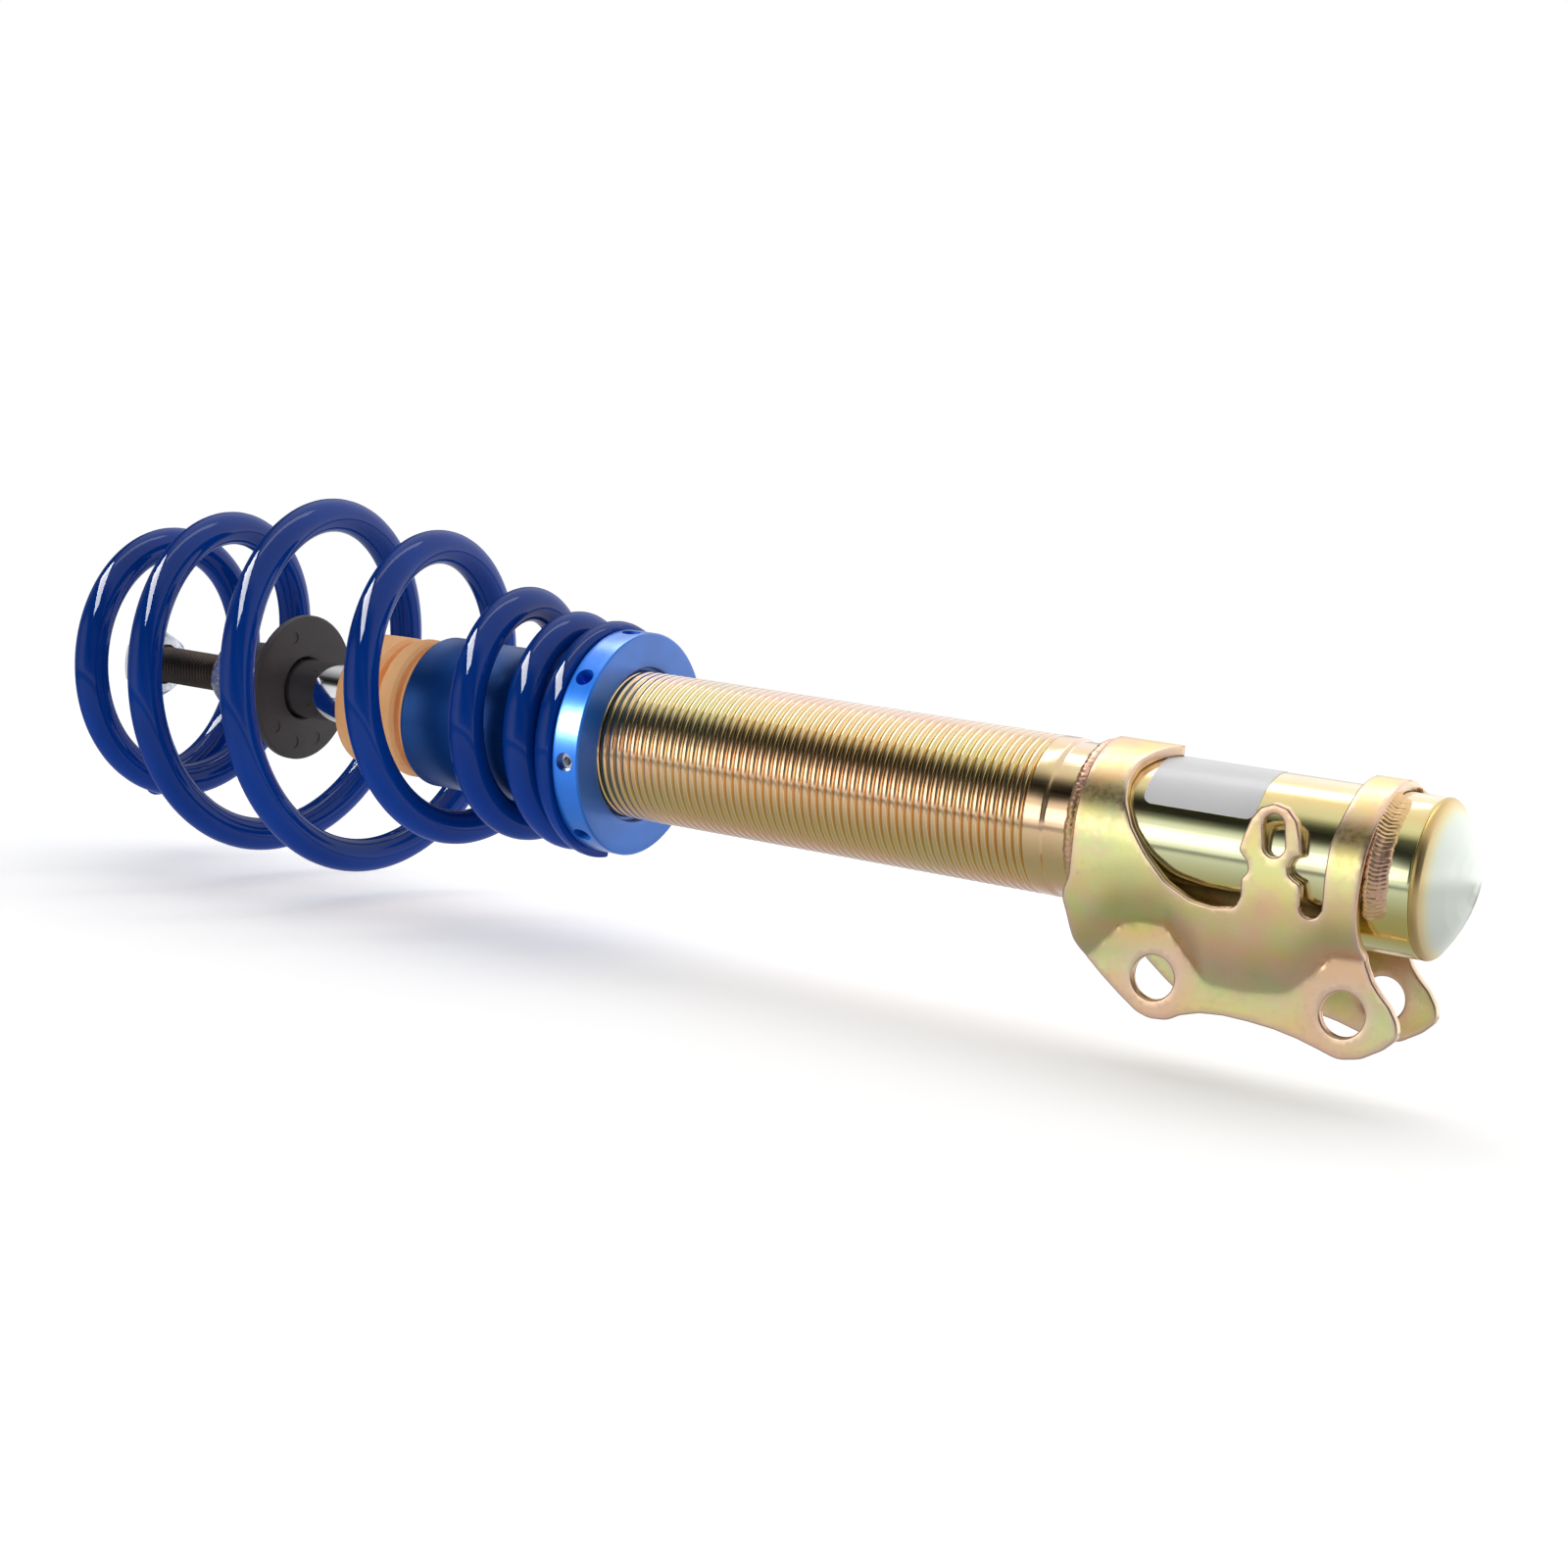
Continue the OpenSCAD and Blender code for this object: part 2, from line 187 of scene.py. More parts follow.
def cylinder_cutter(s, y, z, direction, r, l0, l1, seg=48):
    """A cylinder from l0 to l1 along a direction from the point (s, y, z)."""
    d = Vector(direction).normalized()
    u = d.orthogonal().normalized()
    w = d.cross(u)
    ring = [(u * math.cos(2 * math.pi * k / seg) + w * math.sin(2 * math.pi * k / seg)) * r for k in range(seg)]
    c = Vector((s, y, z))
    v = [c + d * l0 + q for q in ring] + [c + d * l1 + q for q in ring]
    f = [(k, (k + 1) % seg, seg + (k + 1) % seg, seg + k) for k in range(seg)]
    f += [tuple(range(seg - 1, -1, -1)), tuple(range(seg, 2 * seg))]
    return mesh_object("cutter", [tuple(x) for x in v], f, False)


def radial_dir(alpha):
    a = math.radians(alpha)
    return (0.0, -math.cos(a), -math.sin(a))


def hash_noise(x, seed=0.0):
    """Smooth repeatable 1-D noise, about -1 to 1."""
    x = np.asarray(x, float)
    return (np.sin(x * 1.0 + seed) + 0.6 * np.sin(x * 2.17 + 1.3 + seed * 2) + 0.35 * np.sin(x * 4.9 + 0.7 + seed * 3)
            + 0.2 * np.sin(x * 9.7 + 2.1 + seed)) / 2.15


# ---------------------------------------------------------------- materials
class Mat:
    """Small node-graph writer."""

    def __init__(self, name):
        self.m = bpy.data.materials.new(name)
        self.m.use_nodes = True
        self.t = self.m.node_tree
        self.t.nodes.clear()
        self.out = self.t.nodes.new("ShaderNodeOutputMaterial")
        self.b = self.t.nodes.new("ShaderNodeBsdfPrincipled")
        self.t.links.new(self.b.outputs[0], self.out.inputs[0])
        self.co = self.t.nodes.new("ShaderNodeTexCoord").outputs["Object"]

    def n(self, kind, **kw):
        node = self.t.nodes.new(kind)
        for k, v in kw.items():
            setattr(node, k, v)
        return node

    def link(self, a, b):
        self.t.links.new(a, b)

    def set(self, **kw):
        for k, v in kw.items():
            self.b.inputs[k.replace("_", " ")].default_value = v

    def noise(self, scale, detail=3.0, rough=0.5, vec=None, distortion=0.0):
        t = self.n("ShaderNodeTexNoise")
        t.inputs["Scale"].default_value = scale
        t.inputs["Detail"].default_value = detail
        t.inputs["Roughness"].default_value = rough
        t.inputs["Distortion"].default_value = distortion
        self.link(vec if vec is not None else self.co, t.inputs["Vector"])
        return t.outputs["Fac"]

    def ramp(self, fac, stops, mode="LINEAR"):
        r = self.n("ShaderNodeValToRGB")
        r.color_ramp.interpolation = mode
        el = r.color_ramp.elements
        while len(el) < len(stops):
            el.new(0.5)
        for e, (p, c) in zip(el, stops):
            e.position = p
            e.color = (c, c, c, 1) if np.isscalar(c) else (*c[:3], 1)
        self.link(fac, r.inputs[0])
        return r.outputs[0]

    def mix(self, fac, a, b, blend="MIX"):
        x = self.n("ShaderNodeMix", data_type="RGBA", blend_type=blend)
        x.clamp_factor = True
        if hasattr(fac, "links"):
            self.link(fac, x.inputs[0])
        else:
            x.inputs[0].default_value = fac
        for i, v in ((6, a), (7, b)):
            if hasattr(v, "links"):
                self.link(v, x.inputs[i])
            else:
                x.inputs[i].default_value = (*v[:3], 1)
        return x.outputs[2]

    def math(self, op, a, b=0.0, c=0.0):
        x = self.n("ShaderNodeMath", operation=op)
        for i, v in enumerate((a, b, c)):
            if hasattr(v, "links"):
                self.link(v, x.inputs[i])
            else:
                x.inputs[i].default_value = v
        return x.outputs[0]

    def remap(self, v, a0, a1, b0, b1):
        x = self.n("ShaderNodeMapRange")
        self.link(v, x.inputs[0])
        for i, q in enumerate((a0, a1, b0, b1)):
            x.inputs[i + 1].default_value = q
        return x.outputs[0]

    def xyz(self, vec=None):
        x = self.n("ShaderNodeSeparateXYZ")
        self.link(vec if vec is not None else self.co, x.inputs[0])
        return x.outputs

    def scale(self, sx, sy, sz, vec=None):
        x = self.n("ShaderNodeVectorMath", operation="MULTIPLY")
        self.link(vec if vec is not None else self.co, x.inputs[0])
        x.inputs[1].default_value = (sx, sy, sz)
        return x.outputs[0]

    def attr(self, name):
        x = self.n("ShaderNodeAttribute")
        x.attribute_name = name
        return x.outputs["Fac"]

    def angle(self):
        """0 to 1 round the strut axis: 0.5 faces -Y, rising towards -Z."""
        c = self.xyz()
        z = self.math("SUBTRACT", c[2], H / 1000.0)
        ang = self.math("ARCTAN2", self.math("MULTIPLY", z, -1.0), self.math("MULTIPLY", c[1], -1.0))
        return self.remap(ang, -math.pi, math.pi, 0.0, 1.0)

    def bump(self, height, strength, dist=0.0002, normal=None):
        x = self.n("ShaderNodeBump")
        x.inputs["Strength"].default_value = strength
        x.inputs["Distance"].default_value = dist
        self.link(height, x.inputs["Height"])
        if normal is not None:
            self.link(normal, x.inputs["Normal"])
        self.link(x.outputs[0], self.b.inputs["Normal"])
        return x.outputs[0]

    def color(self, c):
        if hasattr(c, "links"):
            self.link(c, self.b.inputs["Base Color"])
        else:
            self.b.inputs["Base Color"].default_value = (*c[:3], 1)

    def rough(self, v):
        if hasattr(v, "links"):
            self.link(v, self.b.inputs["Roughness"])
        else:
            self.b.inputs["Roughness"].default_value = v


GOLD, LEMON, PINK, GREEN = (0.80, 0.58, 0.22), (0.86, 0.78, 0.36), (0.84, 0.50, 0.36), (0.62, 0.70, 0.42)
CREAM, OLIVE = (0.93, 0.86, 0.62), (0.52, 0.47, 0.22)


def by_angle(stops):
    """Colour stops given in degrees below -Y, from -180 to 180, as ramp positions."""
    return [((a + 180.0) / 360.0, c) for a, c in stops]


PINK_SIDE = [(-180, (0.85, 0.58, 0.40)), (-110, (0.90, 0.66, 0.50)), (-90, (0.93, 0.78, 0.70)), (-76, (0.92, 0.70, 0.58)), (-66, (0.92, 0.69, 0.47)),
             (-54, (0.92, 0.74, 0.48)), (-40, (0.88, 0.68, 0.35)), (-28, (0.82, 0.60, 0.28)), (-20, (0.94, 0.64, 0.38)), (-8, (1.0, 0.71, 0.49)),
             (10, (1.0, 0.70, 0.39)), (20, (0.94, 0.68, 0.34)), (36, (0.90, 0.70, 0.31)), (46, (0.92, 0.67, 0.34)), (54, (0.98, 0.66, 0.40)),
             (61, (1.0, 0.68, 0.50)), (70, (0.92, 0.70, 0.62)), (90, (0.88, 0.70, 0.62)), (120, (0.88, 0.60, 0.36)), (180, (0.85, 0.58, 0.40))]
LEMON_SIDE = [(-180, (0.86, 0.76, 0.38)), (-100, (0.90, 0.87, 0.70)), (-76, (0.92, 0.84, 0.60)), (-60, (0.92, 0.78, 0.42)), (-50, (0.90, 0.70, 0.32)),
              (-42, (0.86, 0.76, 0.37)), (-32, (0.82, 0.79, 0.33)), (-22, (0.74, 0.80, 0.42)), (-10, (0.88, 0.90, 0.60)), (2, (0.84, 0.88, 0.54)),
              (14, (0.86, 0.86, 0.44)), (24, (0.88, 0.78, 0.30)), (34, (0.87, 0.74, 0.22)), (44, (0.86, 0.68, 0.20)), (54, (0.84, 0.80, 0.36)),
              (64, (0.84, 0.80, 0.50)), (80, (0.84, 0.72, 0.44)), (120, (0.84, 0.74, 0.34)), (180, (0.86, 0.76, 0.38))]


def chromate_tube(name, thread=False):
    m = Mat(name)
    m.set(Metallic=1.0)
    a = m.angle()
    wob = m.noise(11.0, 3.0, 0.55, m.scale(0.6, 1, 1))
    a = m.math("ADD", a, m.math("MULTIPLY", m.math("SUBTRACT", wob, 0.5), 0.045))
    pink = m.ramp(a, by_angle(PINK_SIDE))
    x = m.xyz()[0]
    if thread:
        base = m.mix(m.remap(wob, 0.40, 0.68, 0.0, 0.35), pink, (0.80, 0.74, 0.36))
        c = m.xyz()
        z = m.math("SUBTRACT", c[2], H / 1000.0)
        rad = m.math("SQRT", m.math("ADD", m.math("MULTIPLY", z, z), m.math("MULTIPLY", c[1], c[1])))
        # painted shade: the thread's roots, below a radius of about 24.8 mm, are darkened to dark brown
        base = m.mix(m.remap(rad, 0.02465, 0.02484, 0.80, 0.0), base, (0.20, 0.15, 0.08))
    else:
        lemon = m.ramp(a, by_angle(LEMON_SIDE))
        along = m.math("ADD", m.remap(x, (171.0 - S0) / 1000, (206.0 - S0) / 1000, 0.0, 1.0), m.math("MULTIPLY", m.math("SUBTRACT", wob, 0.5), 0.7))
        base = m.mix(along, pink, lemon)
        # painted shadow: a dark brown band on the tube just below the bracket's window edge, where the sheet shades it
        near = m.math("MULTIPLY", m.remap(a, (22.0 + 180.0) / 360, (27.0 + 180.0) / 360, 0.0, 1.0), m.remap(a, (50.0 + 180.0) / 360, (60.0 + 180.0) / 360, 1.0, 0.0))
        window_shadow_span = m.math("MULTIPLY", m.remap(x, (203.0 - S0) / 1000, (208.0 - S0) / 1000, 0.0, 1.0), m.remap(x, (262.0 - S0) / 1000, (266.0 - S0) / 1000, 1.0, 0.0))
        base = m.mix(m.math("MULTIPLY", m.math("MULTIPLY", near, window_shadow_span), 0.95), base, (0.12, 0.09, 0.06))
    blot = m.noise(38.0, 4.0, 0.6)
    base = m.mix(m.remap(blot, 0.50, 0.72, 0.0, 0.28), base, (0.88, 0.50, 0.36))
    blot2 = m.noise(24.0, 3.0, 0.5, m.scale(1.3, 0.8, 0.8))
    base = m.mix(m.remap(blot2, 0.52, 0.74, 0.0, 0.30), base, (0.66, 0.76, 0.46))
    m.color(base)
    fine = m.noise(900.0, 2.0, 0.6, m.scale(0.06, 1, 1))
    m.rough(m.remap(fine, 0.3, 0.7, 0.10 if not thread else 0.11, 0.17 if not thread else 0.18))
    m.bump(fine, 0.03, 0.0001)
    return m.m


def chromate_sheet():
    m = Mat("zinc_chromate_sheet")
    m.set(Metallic=1.0)
    e = m.attr("edge_highlight")
    big = m.noise(24.0, 3.0, 0.5)
    mid = m.noise(60.0, 3.0, 0.55)
    # bands of tint down the sheet, pushed about by the plating's clouds
    z = m.xyz()[2]
    v = m.remap(z, (H + 30.0) / 1000, (H - 60.0) / 1000, 0.0, 1.0)
    v = m.math("ADD", v, m.math("MULTIPLY", m.math("SUBTRACT", big, 0.5), 0.22))
    stops = [(-28, (0.97, 0.72, 0.44)), (-18, (0.96, 0.60, 0.36)), (-9, (0.92, 0.78, 0.40)), (0, (0.85, 0.87, 0.50)), (8, (0.86, 0.78, 0.42)), (16, (0.82, 0.70, 0.34)),
             (23, (0.66, 0.70, 0.34)), (30, (0.78, 0.60, 0.30)), (37, (0.62, 0.66, 0.40)), (43, (0.74, 0.83, 0.48)), (50, (0.88, 0.74, 0.38)), (57, (0.92, 0.56, 0.42))]
    base = m.ramp(v, [((a + 30.0) / 90.0, (min(1.0, c[0] * 1.10), min(1.0, c[1] * 1.10), c[2] * 0.86)) for a, c in stops])
    base = m.mix(m.remap(big, 0.54, 0.66, 0.0, 0.75), base, (0.99, 0.60, 0.42))
    base = m.mix(m.remap(big, 0.44, 0.30, 0.0, 0.70), base, (0.72, 0.86, 0.46))
    base = m.mix(m.remap(mid, 0.52, 0.72, 0.0, 0.18), base, CREAM)
    veins = m.noise(34.0, 4.0, 0.62, m.scale(0.7, 1, 1))
    band = m.math("SUBTRACT", 1.0, m.math("MINIMUM", m.math("MULTIPLY", m.math("ABSOLUTE", m.math("SUBTRACT", veins, 0.5)), 22.0), 1.0))
    base = m.mix(m.math("MULTIPLY", band, 0.28), base, (0.98, 0.60, 0.50))
    # partly the plating's pink tint at the cut edges, partly a painted highlight: the sheet is lighter pink along its
    # cut edges and round the bolt holes
    rim = m.math("MULTIPLY", m.remap(e, 0.0, 1.0, 0.0, 0.90), m.remap(mid, 0.25, 0.65, 0.6, 1.0))
    base = m.mix(rim, base, (0.98, 0.70, 0.58))
    # painted shadow: the sheet's inner face is darkened to dark brown, strongest round the window and faint on the
    # ears
    base = m.mix(m.math("MULTIPLY", m.attr("inner_shadow"), 0.85), base, (0.26, 0.16, 0.10))
    m.color(base)
    fine = m.noise(520.0, 3.0, 0.6)
    m.rough(m.remap(fine, 0.3, 0.7, 0.26, 0.38))
    m.bump(fine, 0.06, 0.0001)
    return m.m


def weld_material():
    m = Mat("weld_chromate")
    m.set(Metallic=1.0)
    big = m.noise(45.0, 3.0, 0.5)
    m.color(m.ramp(big, [(0.30, (0.80, 0.52, 0.24)), (0.46, (0.90, 0.62, 0.32)), (0.58, (0.95, 0.60, 0.44)), (0.72, (0.96, 0.72, 0.52))]))
    fine = m.noise(800.0, 3.0, 0.6)
    m.rough(m.remap(fine, 0.3, 0.7, 0.30, 0.42))
    m.bump(fine, 0.04, 0.0001)
    return m.m


def cap_material():
    m = Mat("zinc_cap")
    m.set(Metallic=1.0)
    x = m.xyz()[0]
    # the plating's tint along the dome with painted shade over it: a darker gold-brown band on the rim's shoulder,
    # growing lighter towards the apex
    f = m.remap(x, (288.6 - S0) / 1000, (295.0 - S0) / 1000, 0.0, 1.0)
    wob = m.noise(30.0, 2.0, 0.5)
    f = m.math("ADD", f, m.math("MULTIPLY", m.math("SUBTRACT", wob, 0.5), 0.16))
    base = m.ramp(f, [(0.0, (0.86, 0.74, 0.32)), (0.16, (0.66, 0.46, 0.18)), (0.34, (0.74, 0.54, 0.24)), (0.50, (0.90, 0.68, 0.36)), (0.68, (0.92, 0.86, 0.56)), (0.86, (0.86, 0.91, 0.80)), (1.0, (0.86, 0.91, 0.84))])
    m.color(base)
    m.rough(m.remap(m.noise(120.0, 2.0, 0.5), 0.3, 0.7, 0.30, 0.36))
    m.bump(wob, 0.02, 0.0002)
    return m.m


def anodised(name, col, rough0, rough1, lines=True, metallic=0.92, coat=0.35):
    m = Mat(name)
    m.set(Metallic=0.92)
    # turned lines: rings about the axis
    c = m.xyz()
    z = m.math("SUBTRACT", c[2], H / 1000.0)
    rad = m.math("SQRT", m.math("ADD", m.math("MULTIPLY", z, z), m.math("MULTIPLY", c[1], c[1])))
    comb = m.n("ShaderNodeCombineXYZ")
    m.link(rad, comb.inputs[0])
    m.link(c[0], comb.inputs[1])
    turn = m.noise(2600.0, 2.0, 0.6, comb.outputs[0])
    cloud = m.noise(40.0, 3.0, 0.5)
    dark = tuple(v * 0.78 for v in col)
    m.color(m.mix(m.remap(cloud, 0.35, 0.65, 0.0, 1.0), col, dark))
    m.rough(m.remap(turn, 0.3, 0.7, rough0, rough1))
    if lines:
        m.bump(turn, 0.02, 0.00004)
    m.set(Metallic=metallic, Coat_Weight=coat, Coat_Roughness=0.26)
    return m.m


def spring_paint():
    m = Mat("spring_powder_coat")
    cloud = m.noise(30.0, 3.0, 0.5)
    m.color(m.mix(m.remap(cloud, 0.35, 0.65, 0.0, 1.0), (0.001, 0.038, 0.27), (0.002, 0.046, 0.32)))
    peel = m.noise(260.0, 2.0, 0.5)
    m.rough(m.remap(m.noise(120.0, 3.0, 0.6), 0.3, 0.7, 0.14, 0.20))
    m.set(Coat_Weight=0.50, Coat_Roughness=0.03, Specular_IOR_Level=0.0)
    m.bump(peel, 0.025, 0.0002)
    return m.m


def foam_material():
    m = Mat("bump_stop_foam")
    cloud = m.noise(35.0, 4.0, 0.6)
    m.color(m.ramp(cloud, [(0.3, (0.95, 0.45, 0.17)), (0.5, (0.98, 0.50, 0.21)), (0.7, (1.0, 0.56, 0.25))]))
    v = m.n("ShaderNodeTexVoronoi")
    v.inputs["Scale"].default_value = 900.0
    m.link(m.co, v.inputs["Vector"])
    pores = m.math("ADD", v.outputs["Distance"], m.noise(420.0, 4.0, 0.6))
    m.rough(m.remap(pores, 0.2, 1.2, 0.42, 0.60))
    m.set(Subsurface_Weight=0.12, Subsurface_Scale=0.0015, Specular_IOR_Level=0.25)
    m.bump(pores, 0.22, 0.00025)
    return m.m


def plastic(name, col, r0, r1, grain=700.0, strength=0.15):
    m = Mat(name)
    cloud = m.noise(40.0, 3.0, 0.5)
    m.color(m.mix(m.remap(cloud, 0.35, 0.65, 0.0, 1.0), col, tuple(min(1, v * 1.25 + 0.004) for v in col)))
    g = m.noise(grain, 3.0, 0.6)
    m.rough(m.remap(g, 0.3, 0.7, r0, r1))
    m.bump(g, strength, 0.00012)
    return m.m


def metal(name, col, r0, r1, stretch=(1, 1, 1), grain=900.0, strength=0.05, tint=None):
    m = Mat(name)
    m.set(Metallic=1.0)
    cloud = m.noise(60.0, 3.0, 0.5)
    m.color(m.mix(m.remap(cloud, 0.35, 0.68, 0.0, 1.0), col, tint or tuple(v * 0.86 for v in col)))
    g = m.noise(grain, 3.0, 0.6, m.scale(*stretch))
    m.rough(m.remap(g, 0.3, 0.7, r0, r1))
    m.bump(g, strength, 0.0001)
    return m.m


def label_material():
    m = Mat("label_film")
    cloud = m.noise(50.0, 3.0, 0.5)
    m.color(m.mix(m.remap(cloud, 0.35, 0.65, 0.0, 1.0), (0.93, 0.93, 0.95), (0.97, 0.97, 0.98)))
    m.set(Metallic=0.05, Coat_Weight=0.3, Coat_Roughness=0.15)
    g = m.noise(600.0, 3.0, 0.6)
    m.rough(m.remap(g, 0.3, 0.7, 0.28, 0.38))
    m.bump(g, 0.04, 0.0001)
    return m.m


M = {
    "tube": chromate_tube("zinc_chromate_tube"),
    "thread": chromate_tube("zinc_chromate_thread", True),
    "sheet": chromate_sheet(),
    "weld": weld_material(),
    "cap": cap_material(),
    "collar": anodised("collar_anodised", (0.006, 0.17, 0.72), 0.28, 0.38, metallic=0.45, coat=0.8),
    "cover": anodised("cover_anodised", (0.006, 0.12, 0.48), 0.32, 0.42, metallic=0.7),
    "spring": spring_paint(),
    "foam": foam_material(),
    "plate": plastic("plate_nylon", (0.050, 0.044, 0.044), 0.42, 0.56),
    "chrome": metal("rod_chrome", (0.80, 0.81, 0.83), 0.03, 0.07, (0.1, 1, 1), 1500.0, 0.01),
    "stud": metal("stud_phosphate", (0.10, 0.085, 0.075), 0.28, 0.42, tint=(0.16, 0.12, 0.09)),
    "nut": metal("nut_zinc", (0.78, 0.82, 0.88), 0.16, 0.30, grain=600.0, strength=0.10),
    "steel": metal("seat_steel", (0.52, 0.52, 0.54), 0.22, 0.34),
    "sinter": metal("sintered_iron", (0.30, 0.30, 0.31), 0.40, 0.58, grain=1200.0, strength=0.2),
    "bronze": metal("bush_bronze", (0.66, 0.42, 0.20), 0.25, 0.38),
    "nbr": plastic("seal_nbr", (0.012, 0.012, 0.012), 0.40, 0.55),
    "ptfe": plastic("band_ptfe", (0.10, 0.12, 0.10), 0.45, 0.6),
    "pad": plastic("pad_nylon", (0.72, 0.70, 0.60), 0.4, 0.55),
    "label": label_material(),
}


def dress(ob, *mats):
    ob.data.materials.clear()
    for k in mats:
        ob.data.materials.append(M[k])


def piece(ob, body, slot, node, *mats):
    dress(ob, *mats)
    if node:
        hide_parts(node)
    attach(ob, body)
    return ob


# ---------------------------------------------------------------- tube with rolled thread
def make_tube():
    R, pitch, crest, root = T_TUBE, 3.0, 26.0, 24.6
    K, nph = 128, 12
    s_lo, s_hi = -50.0, 165.2
    rows = int(round((s_hi - s_lo) / pitch)) + 3
    J = rows * nph
    th = 2 * np.pi * np.arange(K) / K
    j = np.arange(J + 1)
    S = s_lo - pitch + j[:, None] * pitch / nph + pitch * th[None, :] / (2 * np.pi)
    ph = ((j % nph) / nph)[:, None] + 0 * S
    hump = 1.0 - np.abs(2.0 * ph - 1.0) ** 3.2
    Rthr = root + (crest - root) * hump
    fade_hi = np.clip((163.4 - S) / 1.6, 0, 1)
    fade_hi = fade_hi * fade_hi * (3 - 2 * fade_hi)
    fade_lo = np.clip((S - s_lo - 0.3) / 1.6, 0, 1)
    fade_lo = fade_lo * fade_lo * (3 - 2 * fade_lo)
    Rr = (crest * (1 - fade_hi) + Rthr * fade_hi)
    Rr = (R - 0.1) * (1 - fade_lo) + Rr * fade_lo
    Sc = np.clip(S, s_lo, s_hi)
    v = np.stack([Sc, Rr * np.cos(th)[None, :], Rr * np.sin(th)[None, :]], -1).reshape(-1, 3)
    clamped = ((S <= s_lo) | (S >= s_hi)).reshape(-1)
    f = []
    for a in range(J):
        for k in range(K):
            if k < K - 1:
                q = (a * K + k, (a + 1) * K + k, (a + 1) * K + k + 1, a * K + k + 1)
            else:
                if a + 1 + nph > J:
                    continue
                q = (a * K + k, (a + 1) * K + k, (a + 1 + nph) * K, (a + nph) * K)
            if not all(clamped[i] for i in q):
                f.append(q)
    base = len(v)
    # plain lower tube, its run-out, the bore and the top end
    prof = fillet([[s_hi, crest], [168.3, crest], [169.3, R], [289.0, R], [289.0, 22.5], [-58.0, 22.5], [-58.0, R - 0.6], [-57.4, R - 0.1], [s_lo, R - 0.1]], 0.9, 5)
    prof = densify(prof, 12.0)
    n = len(prof)
    pv = np.stack([np.repeat(prof[:, 0:1], K, 1), prof[:, 1:2] * np.cos(th)[None, :], prof[:, 1:2] * np.sin(th)[None, :]], -1).reshape(-1, 3)
    for i in range(n - 1):
        for k in range(K):
            k2 = (k + 1) % K
            f.append((base + i * K + k, base + (i + 1) * K + k, base + (i + 1) * K + k2, base + i * K + k2))
    ob = mesh_object("strut_tube_visual", np.vstack([v, pv]), f, True, 50.0, 0.003)
    me = ob.data
    cx = np.array([p.center.x for p in me.polygons]) * 1000 + S0
    me.materials.clear()
    piece(ob, "housing", "zinc_yellow", "strut_tube", "tube", "thread")
    me.polygons.foreach_set("material_index", (cx < 167.5).astype(int).tolist())
    return ob


tube = make_tube()


# ---------------------------------------------------------------- base cap
def make_cap():
    outer = [[279, 22.45], [289.05, 22.45], [289.05, 24.95], [290.3, 25.05], [291.6, 24.2], [293.2, 21.9], [295.2, 18.9], [297.2, 15.4],
             [299.2, 11.2], [300.8, 6.8], [301.6, 3.2], [301.9, 0.0]]
    inner = [[298.6, 0.0], [297.9, 4], [296, 9], [293.6, 13.6], [291, 17.4], [289, 19], [286, 19.4], [279, 19.4]]
    o = fillet(outer, [0.4, 0.2, 0.2, 1.6, 2.0, 6, 8, 10, 10, 5, 2.5, 0], 6)

    def wob(s, r, th):
        k = np.clip((s - 290.5) / 4.0, 0, 1)
        return s + 0.30 * k * np.sin(3 * th + 0.6) * np.clip(r / 14.0, 0, 1), r
    return lathe("base_cap_visual", np.vstack([o, inner]), 144, True, 0.004, 50.0, wob)


piece(make_cap(), "housing", "cap_zinc", "base_cap", "cap")


# ---------------------------------------------------------------- knuckle bracket, one pressed sheet
T = 3.4                 # sheet thickness
RM = 25.03 + T / 2      # middle of the sheet where it wraps the tube
TOP = -RM * math.pi / 2
CREASE = np.array([[170, 41.5], [183, 41.0], [186, 39.7], [196.6, 26.8], [204, 25.0], [212.6, 25.3], [227.5, 41.0], [240, 41.2], [252.9, 39.2], [261, 31.0],
                   [265.0, 25.4], [273.2, 24.5], [300, 24.5]])


def arc(v):
    return -RM * math.asin(min(1.0, -v / (RM + T / 2)))


def crease(s):
    acc = 0.0
    for d, w in ((-1.6, 0.2), (-0.8, 0.2), (0.0, 0.2), (0.8, 0.2), (1.6, 0.2)):
        acc = acc + w * np.interp(s + d, CREASE[:, 0], CREASE[:, 1])
    return acc


def flank(s, v):
    vc = crease(s)
    va = 2.0
    t = np.clip((v - va) / (vc - va), 0, 1.6)
    prof = 28.45 - 8.7 * t ** 3.1
    low = 20.0
    return 0.5 * (prof + low + np.sqrt((prof - low) ** 2 + 0.35)) - T / 2


def sheet_point(s, w, flat):
    """Middle of the sheet: s along the strut, w down the sheet, near (-Y) half."""
    s, w = np.asarray(s, float), np.asarray(w, float)
    phi = np.clip(-w / RM, 0, math.pi / 2)
    y_wrap, z_wrap = RM * np.cos(phi), RM * np.sin(phi)
    y_fl, z_fl = flank(s, np.maximum(w, 0)), -w
    up = w < 0
    y = np.where(up & ~flat, y_wrap, np.where(up & flat, 28.45 - T / 2, y_fl))
    z = np.where(up & ~flat, z_wrap, z_fl)
    return np.stack([s, -y, z], -1)


def sheet_frame(s, w, flat):
    e = 0.05
    p = sheet_point(s, w, flat)
    ds = (sheet_point(s + e, w, flat) - sheet_point(s - e, w, flat)) / (2 * e)
    wl, wh = w - e, w + e
    dw = (sheet_point(s, wh, flat) - sheet_point(s, wl, flat)) / (2 * e)
    n = np.cross(dw, ds)
    n /= np.linalg.norm(n, axis=1)[:, None]
    flip = (n[:, 1] > 0) & (np.abs(n[:, 1]) > 0.05)
    flip |= (np.abs(n[:, 1]) <= 0.05) & (n[:, 2] < 0)
    n[flip] *= -1
    return p, n


